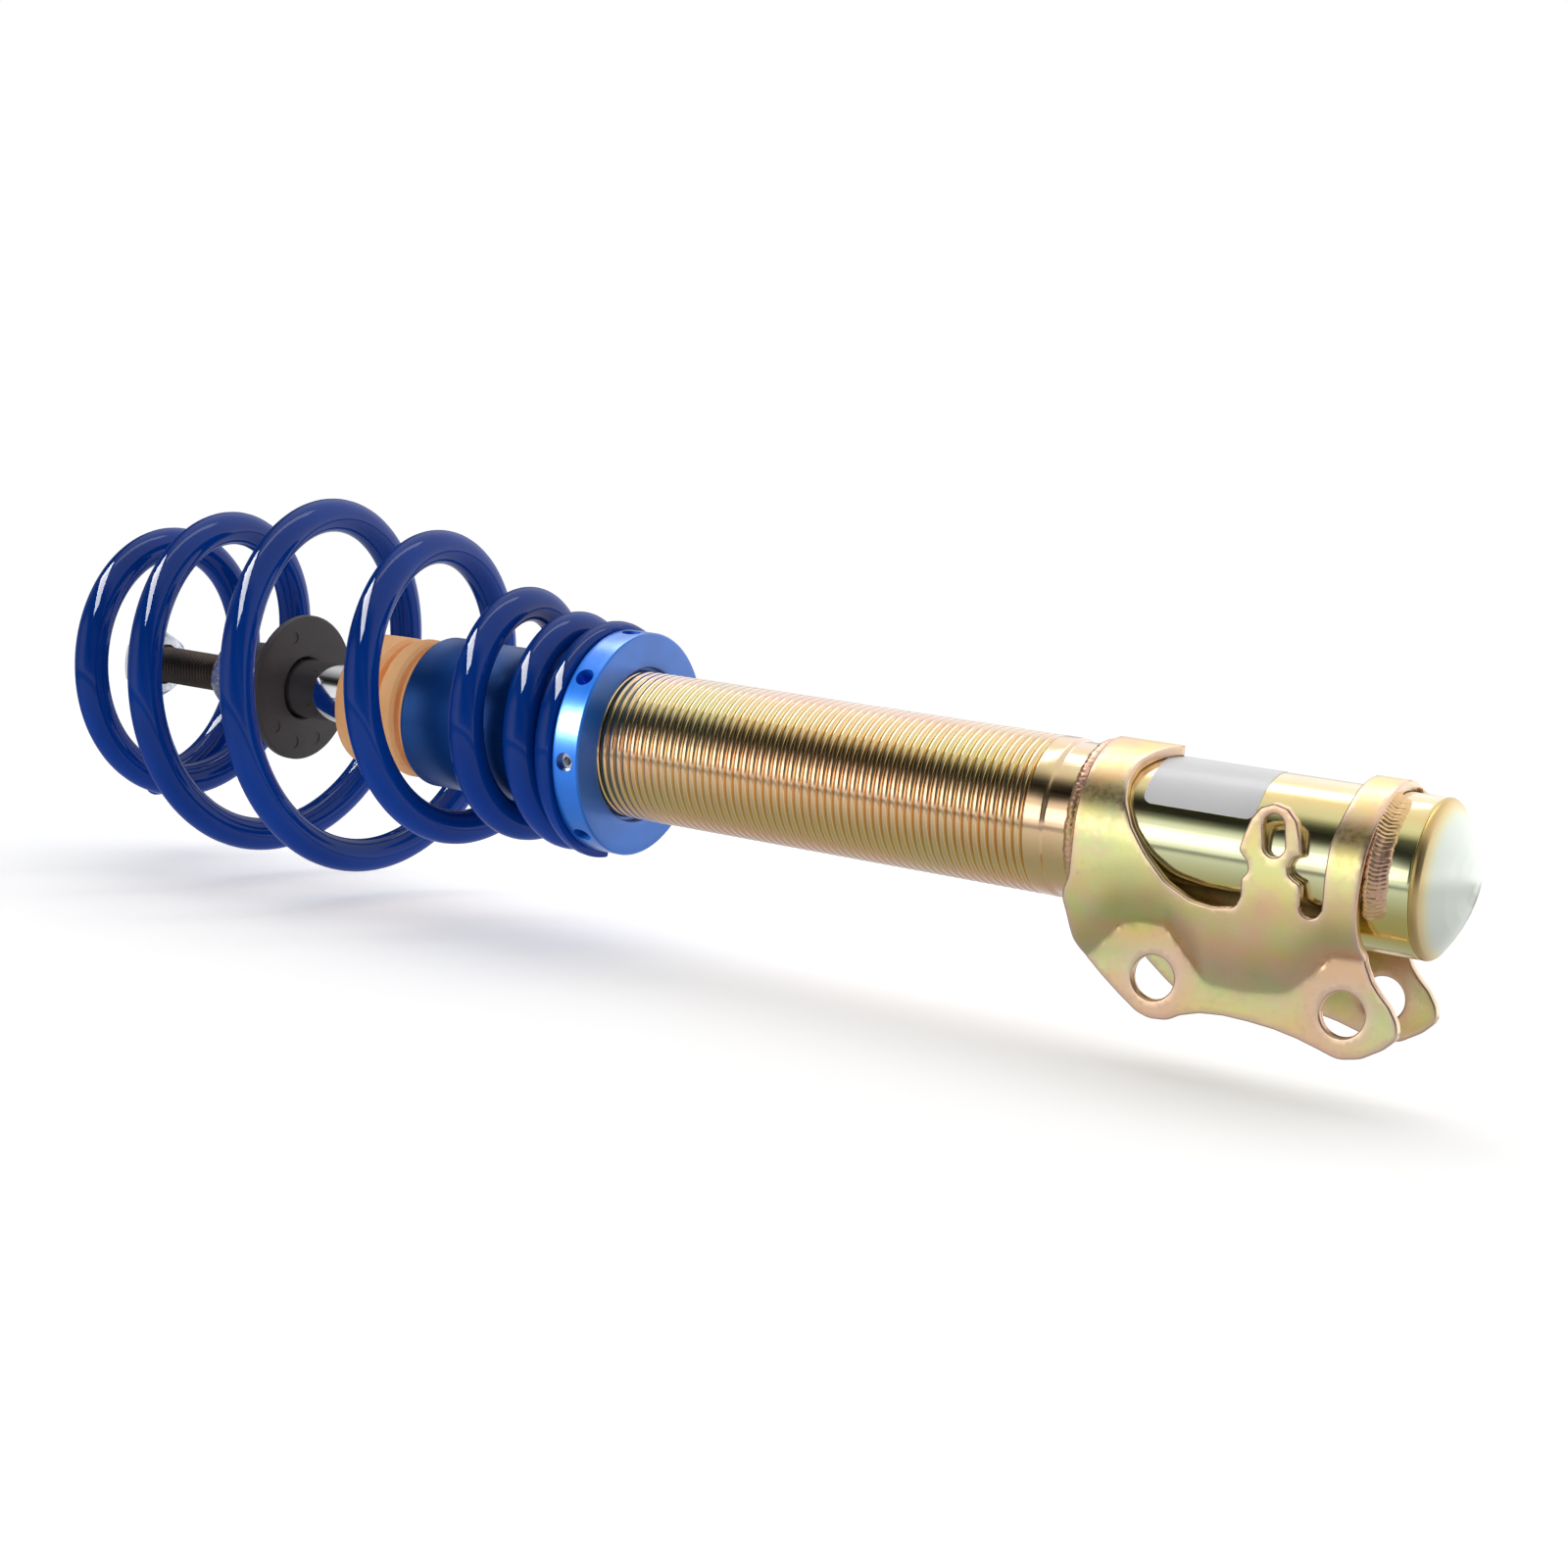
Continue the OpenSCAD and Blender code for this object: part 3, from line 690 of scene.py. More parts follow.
def make_bracket():
    A = arc
    body = [(181, TOP), (181, A(-15)), (181, 6), (181, 14), (178.8, 20), (180.8, 26), (182.6, 34.0), (186, 39.7), (192, 44.8), (198.3, 49.6), (205.0, 54.2),
            (209.6, 55.6), (215.8, 55.0), (219.4, 52.8), (226, 50.8), (233.7, 50.1), (242, 50.4), (250.5, 51.2), (258, 52.6), (264.6, 54.4), (271.6, 56.5), (278.6, 55.0),
            (285.1, 51.0), (289.6, 46.4), (288.6, 41.8), (285.9, 37.6), (282.2, 34), (279.7, 31.0), (277.2, 26), (275.6, 20), (275, 12), (275, 4),
            (275.7, A(-7.6)), (277, A(-20)), (277.6, TOP), (266.4, TOP), (265.6, A(-20)), (263.9, A(-8.4)), (263.8, 2), (264, 8), (263.9, 11), (262.4, 13.2),
            (260.3, 13.9), (258.2, 13.1), (257.2, 11.0), (257.2, 7), (256.9, 4.4), (254.9, 3.4), (252.9, 2.2), (252.2, -0.6), (253.4, -3.2), (256.1, -4.2), (255.3, -9.0),
            (253.6, -14.4), (250.4, -17.8), (245.9, -18.9), (241.6, -17.0), (238.9, -13), (237.4, -8.6), (236.4, -5), (236.0, -2.8), (238.9, 0.0), (239.8, 3.0), (237.8, 5.6), (238.2, 11.0),
            (236.8, 14.4), (230, 15.6), (222.5, 14.8), (213.8, 10.6), (206.5, 3.4), (200.6, A(-4.6)), (196.9, A(-12)), (195.4, A(-18)), (196.0, A(-23)), (198.6, A(-26.4)), (203.6, TOP)]
    n = len(body)
    rs = []
    for i, p in enumerate(body):
        on_top = abs(p[1] - TOP) < 1e-6
        small = 233.0 < p[0] < 265.0 and p[1] < 17.0
        rs.append(0.0 if on_top else 2.2 if small else 9.0)
    out = densify(fillet(body, rs, 5, closed=True), 1.1, closed=True)

    def circle(cs, cv, r, k=56):
        t = np.linspace(0, 2 * np.pi, k, endpoint=False)
        return np.stack([cs + r * np.cos(t), cv + r * np.sin(t)], 1)
    holes = [circle(209.5, 42.5, 7.0), circle(271.5, 42.5, 7.0)]
    t = np.linspace(0, np.pi, 15)
    c0, c1, sr = np.array([247.2, -5.9]), np.array([246.3, -12.2]), 3.3
    ax = (c1 - c0) / np.linalg.norm(c1 - c0)
    pr = np.array([-ax[1], ax[0]])
    slot = [c0 + sr * (math.cos(a) * pr - math.sin(a) * ax) for a in t] + [c1 + sr * (-math.cos(a) * pr + math.sin(a) * ax) for a in t]
    holes.append(densify(np.array(slot), 1.2, closed=True))

    def inset(loop, d, outer):
        nx = np.roll(loop, -1, 0) - np.roll(loop, 1, 0)
        nx /= np.linalg.norm(nx, axis=1)[:, None] + 1e-12
        nr = np.stack([-nx[:, 1], nx[:, 0]], 1)
        area = 0.5 * np.sum(loop[:, 0] * np.roll(loop[:, 1], -1) - np.roll(loop[:, 0], -1) * loop[:, 1])
        sign = 1.0 if area > 0 else -1.0
        if not outer:
            sign = -sign
        res = loop + nr * sign * d
        top = np.abs(loop[:, 1] - TOP) < 1e-6
        res[top, 1] = TOP
        res[top, 0] = loop[top, 0]
        # corners on the top line keep their inset along s only
        return res
    rnd = 0.75
    loops = [out] + holes
    insets = [inset(out, rnd, True)] + [inset(h, rnd, False) for h in holes]
    # points inside
    gs = np.arange(177.5, 291.0, 1.5)
    gw = np.concatenate([np.arange(TOP + 2.0, 0, 2.0), np.arange(0.7, 57.5, 1.35)])
    G = np.array([[a + (0.75 if i % 2 else 0.0), b] for i, b in enumerate(gw) for a in gs])

    def inside(poly, q):
        x, y = q[:, 0], q[:, 1]
        c = np.zeros(len(q), bool)
        px, py = poly[:, 0], poly[:, 1]
        jx, jy = np.roll(px, 1), np.roll(py, 1)
        for i in range(len(poly)):
            cond = ((py[i] > y) != (jy[i] > y))
            with np.errstate(divide="ignore", invalid="ignore"):
                xi = (jx[i] - px[i]) * (y - py[i]) / (jy[i] - py[i] + 1e-15) + px[i]
            c ^= cond & (x < xi)
        return c

    def dist(poly, q):
        a, b = poly, np.roll(poly, -1, 0)
        best = np.full(len(q), 1e9)
        for i in range(len(a)):
            if abs(a[i][1] - TOP) < 1e-6 and abs(b[i][1] - TOP) < 1e-6:
                continue
            ab = b[i] - a[i]
            t = np.clip(((q - a[i]) @ ab) / (ab @ ab + 1e-12), 0, 1)
            best = np.minimum(best, np.linalg.norm(q - (a[i] + t[:, None] * ab), axis=1))
        return best
    keep = inside(insets[0], G) & (dist(insets[0], G) > 0.7)
    for h in insets[1:]:
        keep &= ~inside(h, G) & (dist(h, G) > 0.7)
    G = G[keep]
    pts, edges = [], []
    for lp in insets:
        b = len(pts)
        pts += [Vector((float(x), float(y))) for x, y in lp]
        edges += [(b + i, b + (i + 1) % len(lp)) for i in range(len(lp))]
    pts += [Vector((float(x), float(y))) for x, y in G]
    vs, es, fs, ov, _, _ = delaunay_2d_cdt(pts, edges, [], 0, 1e-5)
    V2 = np.array([[v.x, v.y] for v in vs])
    where = {}
    for i, o in enumerate(ov):
        for k in o:
            where[k] = i
    cen = np.array([V2[list(f)].mean(0) for f in fs])
    ok = inside(insets[0], cen)
    for h in insets[1:]:
        ok &= ~inside(h, cen)
    F = [tuple(f) for f, g in zip(fs, ok) if g]

    def is_flat(q):
        return (q[:, 0] > 234.0) & (q[:, 0] < 258.5) & (q[:, 1] < 6.0) & (q[:, 1] > -25)
    verts, faces, near, inner = [], [], [], []
    fl = is_flat(V2)
    P, N = sheet_frame(V2[:, 0], V2[:, 1], fl)
    d_edge = dist(out, V2)
    for h in holes:
        d_edge = np.minimum(d_edge, dist(h, V2))
    hole_d = np.minimum(dist(holes[0], V2), dist(holes[1], V2))
    # painted highlight weight, partly the plating's edge tint: high along the cut edges, with a wider fade round the
    # bolt holes
    rim_highlight_weight = np.maximum(np.exp(-((d_edge / 1.6) ** 2)), 0.9 * np.exp(-((hole_d / 4.0) ** 2)))
    m = len(V2)
    verts += list(P + N * T / 2)
    verts += list(P - N * T / 2)
    near += list(rim_highlight_weight) + list(rim_highlight_weight)
    # painted shadow weight for the inner face: full round the window, fading to 0.12 down on the ears
    def shade(w):
        return list(np.clip((26.0 - np.asarray(w, float)) / 10.0, 0.12, 1.0))
    inner += [0.0] * m + shade(V2[:, 1])
    faces += F
    faces += [tuple(i + m for i in f[::-1]) for f in F]
    base_of = 0
    for li, lp in enumerate(loops):
        k = len(lp)
        first = sum(len(x) for x in insets[:li])
        flo = is_flat(lp)
        p, nn = sheet_frame(lp[:, 0], lp[:, 1], flo)
        # rounded rim between the two faces
        ins = insets[li]
        rings = [[where[first + i] for i in range(k)]]
        for ang in (30, 60, 90):
            a = math.radians(ang)
            q = lp + (ins - lp) * (1 - math.sin(a))
            pp, nq = sheet_frame(q[:, 0], q[:, 1], is_flat(q))
            off = T / 2 - rnd + rnd * math.cos(a)
            rings.append(list(range(len(verts), len(verts) + k)))
            verts += list(pp + nq * off)
            near += [1.0] * k
            inner += [0.0] * k
        for ang in (90, 60, 30):
            a = math.radians(ang)
            q = lp + (ins - lp) * (1 - math.sin(a))
            pp, nq = sheet_frame(q[:, 0], q[:, 1], is_flat(q))
            off = T / 2 - rnd + rnd * math.cos(a)
            rings.append(list(range(len(verts), len(verts) + k)))
            verts += list(pp - nq * off)
            near += [1.0] * k
            inner += [(0.0 if ang == 90 else 0.5 if ang == 60 else 0.9) * x for x in shade(q[:, 1])]
        rings.append([where[first + i] + m for i in range(k)])
        top = np.abs(lp[:, 1] - TOP) < 1e-6
        for a, b in zip(rings[:-1], rings[1:]):
            for i in range(k):
                i2 = (i + 1) % k
                if top[i] and top[i2]:
                    continue
                faces.append((a[i], a[i2], b[i2], b[i]))
    verts = np.array(verts)
    near = np.array(near)
    # far half
    far = verts * np.array([1, -1, 1])
    nv = len(verts)
    faces = faces + [tuple(i + nv for i in f[::-1]) for f in faces]
    allv = np.vstack([verts, far])
    me = bpy.data.meshes.new("knuckle_bracket_visual")
    me.from_pydata([tuple(v) for v in to_world(allv)], [], faces)
    att = me.attributes.new("edge_highlight", "FLOAT", "POINT")
    att.data.foreach_set("value", np.concatenate([near, near]).astype(np.float32))
    att = me.attributes.new("inner_shadow", "FLOAT", "POINT")
    att.data.foreach_set("value", np.array(inner + inner, dtype=np.float32))
    bm = bmesh.new()
    bm.from_mesh(me)
    bmesh.ops.remove_doubles(bm, verts=bm.verts, dist=0.00006)
    bmesh.ops.dissolve_degenerate(bm, edges=bm.edges, dist=1e-6)
    bm.to_mesh(me)
    bm.free()
    ob = bpy.data.objects.new("knuckle_bracket_visual", me)
    bpy.context.scene.collection.objects.link(ob)
    finish_mesh(ob, True, 60.0)
    return ob


bracket = piece(make_bracket(), "housing", "zinc_yellow", "knuckle_bracket", "sheet")


# ---------------------------------------------------------------- welds
def weld_bead(name, a0, a1, s_mid, width, height, r0, lean=0.0, ripple=1.35, seed=0.0, r_left=None, amp=0.20):
    """A rippled bead laid round the tube between two angles (degrees below -Y)."""
    n = max(24, int(abs(a1 - a0) * math.pi / 180 * 27 / 0.28))
    m = 18
    V, F = [], []
    for i in range(n + 1):
        t = i / n
        a = math.radians(a0 + (a1 - a0) * t)
        arc_len = abs(a1 - a0) * math.pi / 180 * 27 * t
        end = min(1.0, min(t, 1 - t) * n * 0.28 / 4.0)
        end = math.sqrt(max(0.0, 1 - (1 - end) ** 2))
        wv = width * (0.35 + 0.65 * end) * (1 + 0.06 * float(hash_noise(arc_len * 0.7, seed)))
        hv = height * end
        for j in range(m + 1):
            u = -1 + 2 * j / m
            # chevron ripples
            ph = (arc_len + 1.5 * abs(u) ** 1.5) / ripple
            rip = abs(math.sin(math.pi * ph)) ** 0.7
            dome = max(0.0, 1 - u * u) ** 0.55
            base = r0 if r_left is None else r0 + (r_left - r0) * max(0.0, min(1.0, (0.15 - u) / 0.7))
            r = base + hv * dome * (1.0 - amp + amp * rip) + 0.08 * float(hash_noise(arc_len * 2.2 + 5 * u, seed + 2))
            s = s_mid + u * wv / 2 + lean * math.sin(a) + 0.25 * float(hash_noise(arc_len * 0.9, seed + 1))
            if j in (0, m):
                r = base - 0.15
            V.append((s, -r * math.cos(a), -r * math.sin(a)))
        # closing underside point
        V.append((s_mid + lean * math.sin(a), -(T_TUBE - 0.2) * math.cos(a), -(T_TUBE - 0.2) * math.sin(a)))
    w = m + 2
    for i in range(n):
        for j in range(w):
            j2 = (j + 1) % w
            F.append((i * w + j, i * w + j2, (i + 1) * w + j2, (i + 1) * w + j))
    F.append(tuple(range(w - 1, -1, -1)))
    F.append(tuple(n * w + j for j in range(w)))
    return mesh_object(name, V, F, True, 60.0)


piece(weld_bead("upper_weld_visual", -230, 50, 179.0, 4.6, 2.2, 25.1, ripple=1.9, seed=1.0, amp=0.05), "housing", "weld_bead", "upper_weld", "weld")
low_a = weld_bead("lower_weld_near", -70, 27, 279.0, 7.0, 1.5, 25.1, seed=2.0, r_left=26.9)
low_b = weld_bead("lower_weld_far", -207, -110, 279.0, 7.0, 1.5, 25.1, seed=3.0, r_left=26.9)
piece(low_a, "housing", "weld_bead", "lower_welds", "weld")
piece(low_b, "housing", "weld_bead", "lower_welds", "weld")


# ---------------------------------------------------------------- rating label, blank
def make_label():
    a0, a1, s0, s1, rc = -101.0, -28.0, 200.5, 237.5, 3.0
    n, m = 60, 36
    V, F = [], []
    L = math.radians(a1 - a0) * 25.1
    for side, r in ((0, 25.16), (1, 25.02)):
        for i in range(n + 1):
            for j in range(m + 1):
                u, w = i / n, j / m
                x, y = u * L, w * (s1 - s0)
                # rounded corners: slide points in towards the corner arc
                dx, dy = min(x, L - x), min(y, s1 - s0 - y)
                if dx < rc and dy < rc:
                    cx, cy = rc - dx, rc - dy
                    k = max(cx, cy) / math.hypot(cx, cy) if math.hypot(cx, cy) > 1e-9 else 1.0
                    cx, cy = cx * k, cy * k
                    dx2, dy2 = rc - cx, rc - cy
                    x = dx2 if x < L / 2 else L - dx2
                    y = dy2 if y < (s1 - s0) / 2 else s1 - s0 - dy2
                a = math.radians(a0) + x / 25.1
                s = s0 + y
                V.append((s, -r * math.cos(a), -r * math.sin(a)))
    w = m + 1
    o = (n + 1) * w
    for i in range(n):
        for j in range(m):
            q = (i * w + j, i * w + j + 1, (i + 1) * w + j + 1, (i + 1) * w + j)
            F.append(q)
            F.append(tuple(o + k for k in q[::-1]))
    rim = [i * w for i in range(n + 1)] + [n * w + j for j in range(1, m + 1)] + [i * w + m for i in range(n - 1, -1, -1)] + [j for j in range(m - 1, 0, -1)]
    for a, b in zip(rim, rim[1:] + rim[:1]):
        F.append((a, b, o + b, o + a))
    return mesh_object("rating_label_visual", V, F, True, 40.0)


piece(make_label(), "housing", "label_film", "rating_label", "label")


# ---------------------------------------------------------------- dust cover and bump stop
def make_cover():
    pts = [[-86.65, 25.8], [-86.65, 27.0], [-85.6, 27.5], [-23.0, 27.5], [-23.0, 26.4], [-58.0, 26.4], [-58.0, 24.6], [-59.3, 24.6], [-59.3, 26.3], [-83.8, 26.3], [-85.2, 25.8]]
    rs = [0.4, 0.7, 1.2, 0.3, 0.2, 0, 0.2, 0.2, 0, 0.6, 0.2]
    return lathe("dust_cover_visual", densify(fillet(pts, rs, 5, closed=True), 8.0, closed=True), 144, True, 0.004, 40.0)


cover = piece(make_cover(), "housing", "cover_blue", "dust_cover", "cover")


def make_bump():
    b = -120.4
    pts = [[b, 12], [b, 22.4], [b + 0.8, 24.0], [b + 2.6, 24.7], [b + 15.6, 24.8], [b + 17.4, 23.6], [b + 18.4, 21.4], [b + 19.2, 21.2],
           [b + 20.0, 23.2], [b + 21.0, 24.9], [b + 23.0, 25.5], [b + 27.0, 25.4], [b + 28.6, 24.6], [b + 29.4, 22.8], [b + 30.0, 22.8], [b + 30.8, 24.2], [b + 32, 25.0], [b + 33.6, 25.2],
           [b + 44, 25.2], [b + 46.5, 23.0], [b + 49, 24.6], [b + 56, 24.4], [-61.1, 22], [-61.1, 12.2], [-70, 11.6], [b + 10, 11.6]]
    prof = densify(fillet(pts, 0.8, 5, closed=True), 2.0, closed=True)

    def wob(s, r, th):
        k = np.clip((r - 18.0) / 6.0, 0, 1)
        return s + 0.12 * k * np.sin(2 * th + 0.5), r + k * (0.10 * np.sin(3 * th + s * 0.2) + 0.05 * np.sin(7 * th + 1.0))
    return lathe("bump_stop_visual", prof, 144, True, 0.004, 60.0, wob)


bump = piece(make_bump(), "housing", "bump_foam", "bump_stop", "foam")


# ---------------------------------------------------------------- rod, stud, plate and nuts
def make_rod():
    K, pitch, nph = 48, 1.5, 8
    crest, root = 7.0, 6.15
    s_lo, s_hi = -238.8, -176.0
    rows = int(round((s_hi - s_lo) / pitch)) + 3
    J = rows * nph
    th = 2 * np.pi * np.arange(K) / K
    j = np.arange(J + 1)
    S = s_lo - pitch + j[:, None] * pitch / nph + pitch * th[None, :] / (2 * np.pi)
    ph = ((j % nph) / nph)[:, None] + 0 * S
    tri = 1 - np.abs(2 * ph - 1)
    hump = np.clip(tri * 1.25, 0, 1)
    fade = np.clip((S - s_lo) / 1.4, 0, 1) * np.clip((s_hi - S) / 1.4, 0, 1)
    Rr = (crest - 0.45 * (1 - np.clip((S - s_lo) / 1.4, 0, 1))) * (1 - fade) + (root + (crest - root) * hump) * fade
    Sc = np.clip(S, s_lo, s_hi)
    Rr = np.where(S <= s_lo, crest - 0.45, Rr)
    Rr = np.where(S >= s_hi, crest, Rr)
    v = np.stack([Sc, Rr * np.cos(th)[None, :], Rr * np.sin(th)[None, :]], -1).reshape(-1, 3)
    cl = ((S <= s_lo) | (S >= s_hi)).reshape(-1)
    f = []
    for a in range(J):
        for k in range(K):
            if k < K - 1:
                q = (a * K + k, (a + 1) * K + k, (a + 1) * K + k + 1, a * K + k + 1)
            else:
                if a + 1 + nph > J:
                    continue
                q = (a * K + k, (a + 1) * K + k, (a + 1 + nph) * K, (a + nph) * K)
            if not all(cl[i] for i in q):
                f.append(q)

    def add(prof):
        nonlocal v
        base = len(v)
        prof = np.asarray(prof, float)
        n = len(prof)
        pv = np.stack([np.repeat(prof[:, 0:1], K, 1), prof[:, 1:2] * np.cos(th)[None, :], prof[:, 1:2] * np.sin(th)[None, :]], -1).reshape(-1, 3)
        for i in range(n - 1):
            for k in range(K):
                k2 = (k + 1) % K
                f.append((base + i * K + k, base + (i + 1) * K + k, base + (i + 1) * K + k2, base + i * K + k2))
        v = np.vstack([v, pv])
    add([[-240.0, 0.0], [-240.0, 5.6], [-239.6, 6.0], [s_lo, crest - 0.45]])
    add([[s_hi, crest], [-165.0, crest]])
    ob1 = mesh_object("rod_stud_visual", v, f, True, 40.0, 0.003)
    rp = fillet([[-165.0, 7.0], [-165.0, 10.2], [-164.2, 11.0], [0.0, 11.0], [0.0, 6.0], [31.2, 6.0], [32.0, 5.2], [32.0, 0.0]], [0, 0.2, 0.3, 0.4, 0, 0.2, 0.2, 0], 4)
    ob2 = lathe("rod_chrome_visual", densify(rp, 10.0), 128, False, 0.003, 35.0)
    return ob1, ob2


stud, rodv = make_rod()
piece(stud, "rod", "rod_chrome", "piston_rod", "stud")
piece(rodv, "rod", "rod_chrome", "piston_rod", "chrome")


def make_plate():
    pts = [[-153.7, 11.4], [-153.7, 26.6], [-154.4, 27.4], [-156.6, 27.4], [-157.2, 26.9], [-157.9, 22.6], [-162, 19.6], [-166, 17.2], [-171, 14.8],
           [-180, 14.2], [-180, 7.15], [-165, 7.15], [-165, 11.4]]
    rs = [0.4, 0.6, 0.7, 0.7, 0.4, 1.2, 2, 2, 2, 0.6, 0.3, 0.3, 0.3]
    # a shallow recess round the bore on the front face
    pts = [[-153.7, 12.3], [-153.7, 26.6]] + pts[2:12] + [[-165, 11.4], [-155.2, 11.4], [-154.3, 11.8]]
    rs = [0.3, 0.6] + rs[2:12] + [0.3, 0.3, 0.3]
    ob = lathe("bump_plate_visual", densify(fillet(pts, rs, 4, closed=True), 3.0, closed=True), 160, True, 0.004, 35.0)
    # ejector-pin marks
    for a in (-66, 42, 78, 112):
        d = radial_dir(a)
        boolean(ob, cylinder_cutter(-153.7, d[1] * 21.0, d[2] * 21.0, (1, 0, 0), 2.3, -0.25, 2.0, 40))
    finish_mesh(ob, True, 35.0)
    return ob


piece(make_plate(), "rod", "plate_black", "bump_plate", "plate")


def make_nut(name, s0, s1, af, turn, bore=7.02, collar=0.0):
    """Hexagon nut with 30 degree chamfers, cut from a turned blank."""
    R = af / 2 / math.cos(math.pi / 6)
    h = s1 - s0
    ca = 1.5
    prof = [[s0, bore + 0.8], [s0, R - ca * 1.2], [s0 + ca * 0.75, R + 0.05], [s1 - ca * 0.75, R + 0.05], [s1, R - ca * 1.2], [s1, bore + 0.8], [s1 - 0.8, bore], [s0 + 0.8, bore]]
    ob = lathe(name, densify(np.array(prof, float), 1.2, closed=True), 192, True, 0.003, 25.0)
    # hexagon
    V, F = [], []
    for s in (s0 - 1, s1 + 1):
        for k in range(6):
            a = math.radians(60 * k + turn)
            V.append((s, R * math.cos(a), R * math.sin(a)))
    F = [(k, (k + 1) % 6, 6 + (k + 1) % 6, 6 + k) for k in range(6)] + [(5, 4, 3, 2, 1, 0), (6, 7, 8, 9, 10, 11)]
    boolean(ob, mesh_object("cutter", V, F, False), "INTERSECT")
    finish_mesh(ob, True, 20.0)
    b = ob.modifiers.new("soft_edges", "BEVEL")
    b.width = 0.00022
    b.segments = 2
    b.limit_method = "ANGLE"
    b.angle_limit = math.radians(18)
    b.harden_normals = True
    return ob


piece(make_nut("clamp_nut_visual", -191.0, -180.0, 22.0, 12.0), "rod", "nut_zinc", "clamp_nut", "nut")
piece(make_nut("top_nut_visual", -236.0, -225.0, 22.0, 30.0), "rod", "nut_zinc", "top_nut", "nut")


# ---------------------------------------------------------------- coil spring
SP_R = [46, 47, 45, 54.5, 61.5, 62.5, 62.5, 55.5, 44, 41, 36.5, 36, 35.5, 35.5, 36]
SP_S = [-226.5, -224.5, -213, -193, -168, -146, -118.5, -98, -74, -54.5, -43.5, -31.5, -22.5, -15, -11.5]


def tget(t, i):
    if i < 0:
        return 2 * t[0] - t[1]
    if i >= len(t):
        return 2 * t[-1] - t[-2]
    return t[i]


def tab_at(t, u):
    i = min(int(math.floor(u)), len(t) - 2)
    f = u - i
    p0, p1, p2, p3 = tget(t, i - 1), tget(t, i), tget(t, i + 1), tget(t, i + 2)
    return 0.5 * (2 * p1 + (-p0 + p2) * f + (2 * p0 - 5 * p1 + 4 * p2 - p3) * f * f + (-p0 + 3 * p1 - 3 * p2 + p3) * f ** 3)


def bow(s):
    return 4.0 * math.sin(math.pi * min(1, max(0, (s + 230) / 220)))


def sp_c(u):
    r, s, a = tab_at(SP_R, u), tab_at(SP_S, u), math.radians(90 + 180 * u)
    return np.array([s, -r * math.cos(a), -r * math.sin(a) + bow(s)])


def make_spring():
    wr, S, per = 6.2, 28, 60
    n = (len(SP_R) - 1) * per
    V, F = [], []
    rings = []
    us = list(np.linspace(0, len(SP_R) - 1, n + 1))
    for q, u in enumerate(us):
        c = sp_c(u)
        t = sp_c(u + 0.005) - sp_c(u - 0.005)
        t /= np.linalg.norm(t)
        a = math.radians(90 + 180 * u)
        rad = np.array([0, -math.cos(a), -math.sin(a)])
        n1 = rad - t * (rad @ t)
        n1 /= np.linalg.norm(n1)
        n2 = np.cross(t, n1)
        rings.append((c, t, n1, n2))

    def ring(c, n1, n2, r):
        b = len(V)
        for k in range(S):
            w = 2 * math.pi * k / S
            p = c + r * (n1 * math.cos(w) + n2 * math.sin(w))
            p = p.copy()
            p[0] = min(p[0], -11.0)
            V.append(p)
        return b
    idx = []
    # rounded cut at the free end
    c, t, n1, n2 = rings[0]
    for d, r in ((0.0, 5.3), (0.12, 5.75), (0.45, 6.1)):
        idx.append(ring(c - t * (0.9 - d), n1, n2, r))
    for c, t, n1, n2 in rings:
        idx.append(ring(c, n1, n2, wr))
    for d, r in ((0.45, 6.1), (0.78, 5.75), (0.9, 5.3)):
        idx.append(ring(rings[-1][0] + rings[-1][1] * d, n1, n2, r))
    for a, b in zip(idx[:-1], idx[1:]):
        for k in range(S):
            k2 = (k + 1) % S
            F.append((a + k, a + k2, b + k2, b + k))
    F.append(tuple(idx[0] + k for k in range(S - 1, -1, -1)))
    F.append(tuple(idx[-1] + k for k in range(S)))
    return mesh_object("coil_spring_visual", V, F, True, 50.0)


spring = piece(make_spring(), "carriage", "spring_blue", "coil_spring", "spring")


# ---------------------------------------------------------------- adjuster collar
def make_collar():
    R = 39.5
    pts = [[0, 27.7], [0, R - 0.6], [-0.6, R], [-10.3, R], [-10.9, R - 0.6], [-10.9, 28.6], [-18.0, 28.3], [-18.9, 27.6],
           [-18.9, 26.8], [-18.0, 26.1], [-2.6, 26.1], [-2.6, 27.3], [-0.4, 27.3]]
    rs = [0.2, 0.3, 0.3, 0.3, 0.3, 0.4, 0.3, 0.3, 0.3, 0.3, 0.1, 0.3, 0.2]
    ob = lathe("adjuster_collar_visual", densify(fillet(pts, rs, 4, closed=True), 3.0, closed=True), 240, True, 0.004, 40.0)
    for k in range(8):
        a = 6.7 + 45 * k
        d = radial_dir(a)
        if k == 0:
            boolean(ob, cylinder_cutter(-5.45, 0, 0, d, 3.3, 20.0, 45.0, 64))
        else:
            boolean(ob, cylinder_cutter(-5.45, 0, 0, d, 3.3, 30.5, 45.0, 64))
    finish_mesh(ob, True, 32.0)
    b = ob.modifiers.new("soft_edges", "BEVEL")
    b.width = 0.00018
    b.segments = 2
    b.limit_method = "ANGLE"
    b.angle_limit = math.radians(40)
    return ob


piece(make_collar(), "collar", "blue_anodised", "adjuster_collar", "collar")

# ---------------------------------------------------------------- carried-over CAD nodes
for node, mat in {"base_valve": "sinter", "inner_cylinder": "steel", "rod_guide": "sinter", "guide_bush": "bronze", "rod_seal": "nbr",
                  "gland_nut": "nut", "piston_band": "ptfe", "rebound_stop": "ptfe", "piston": "sinter", "valve_shims": "steel",
                  "piston_nut": "steel", "grub_screw": "nut", "screw_pad": "pad"}.items():
    ob = frame["nodes"][node]
    dress(ob, mat)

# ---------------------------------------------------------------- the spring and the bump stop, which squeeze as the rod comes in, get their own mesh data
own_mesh(spring)
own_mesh(bump)

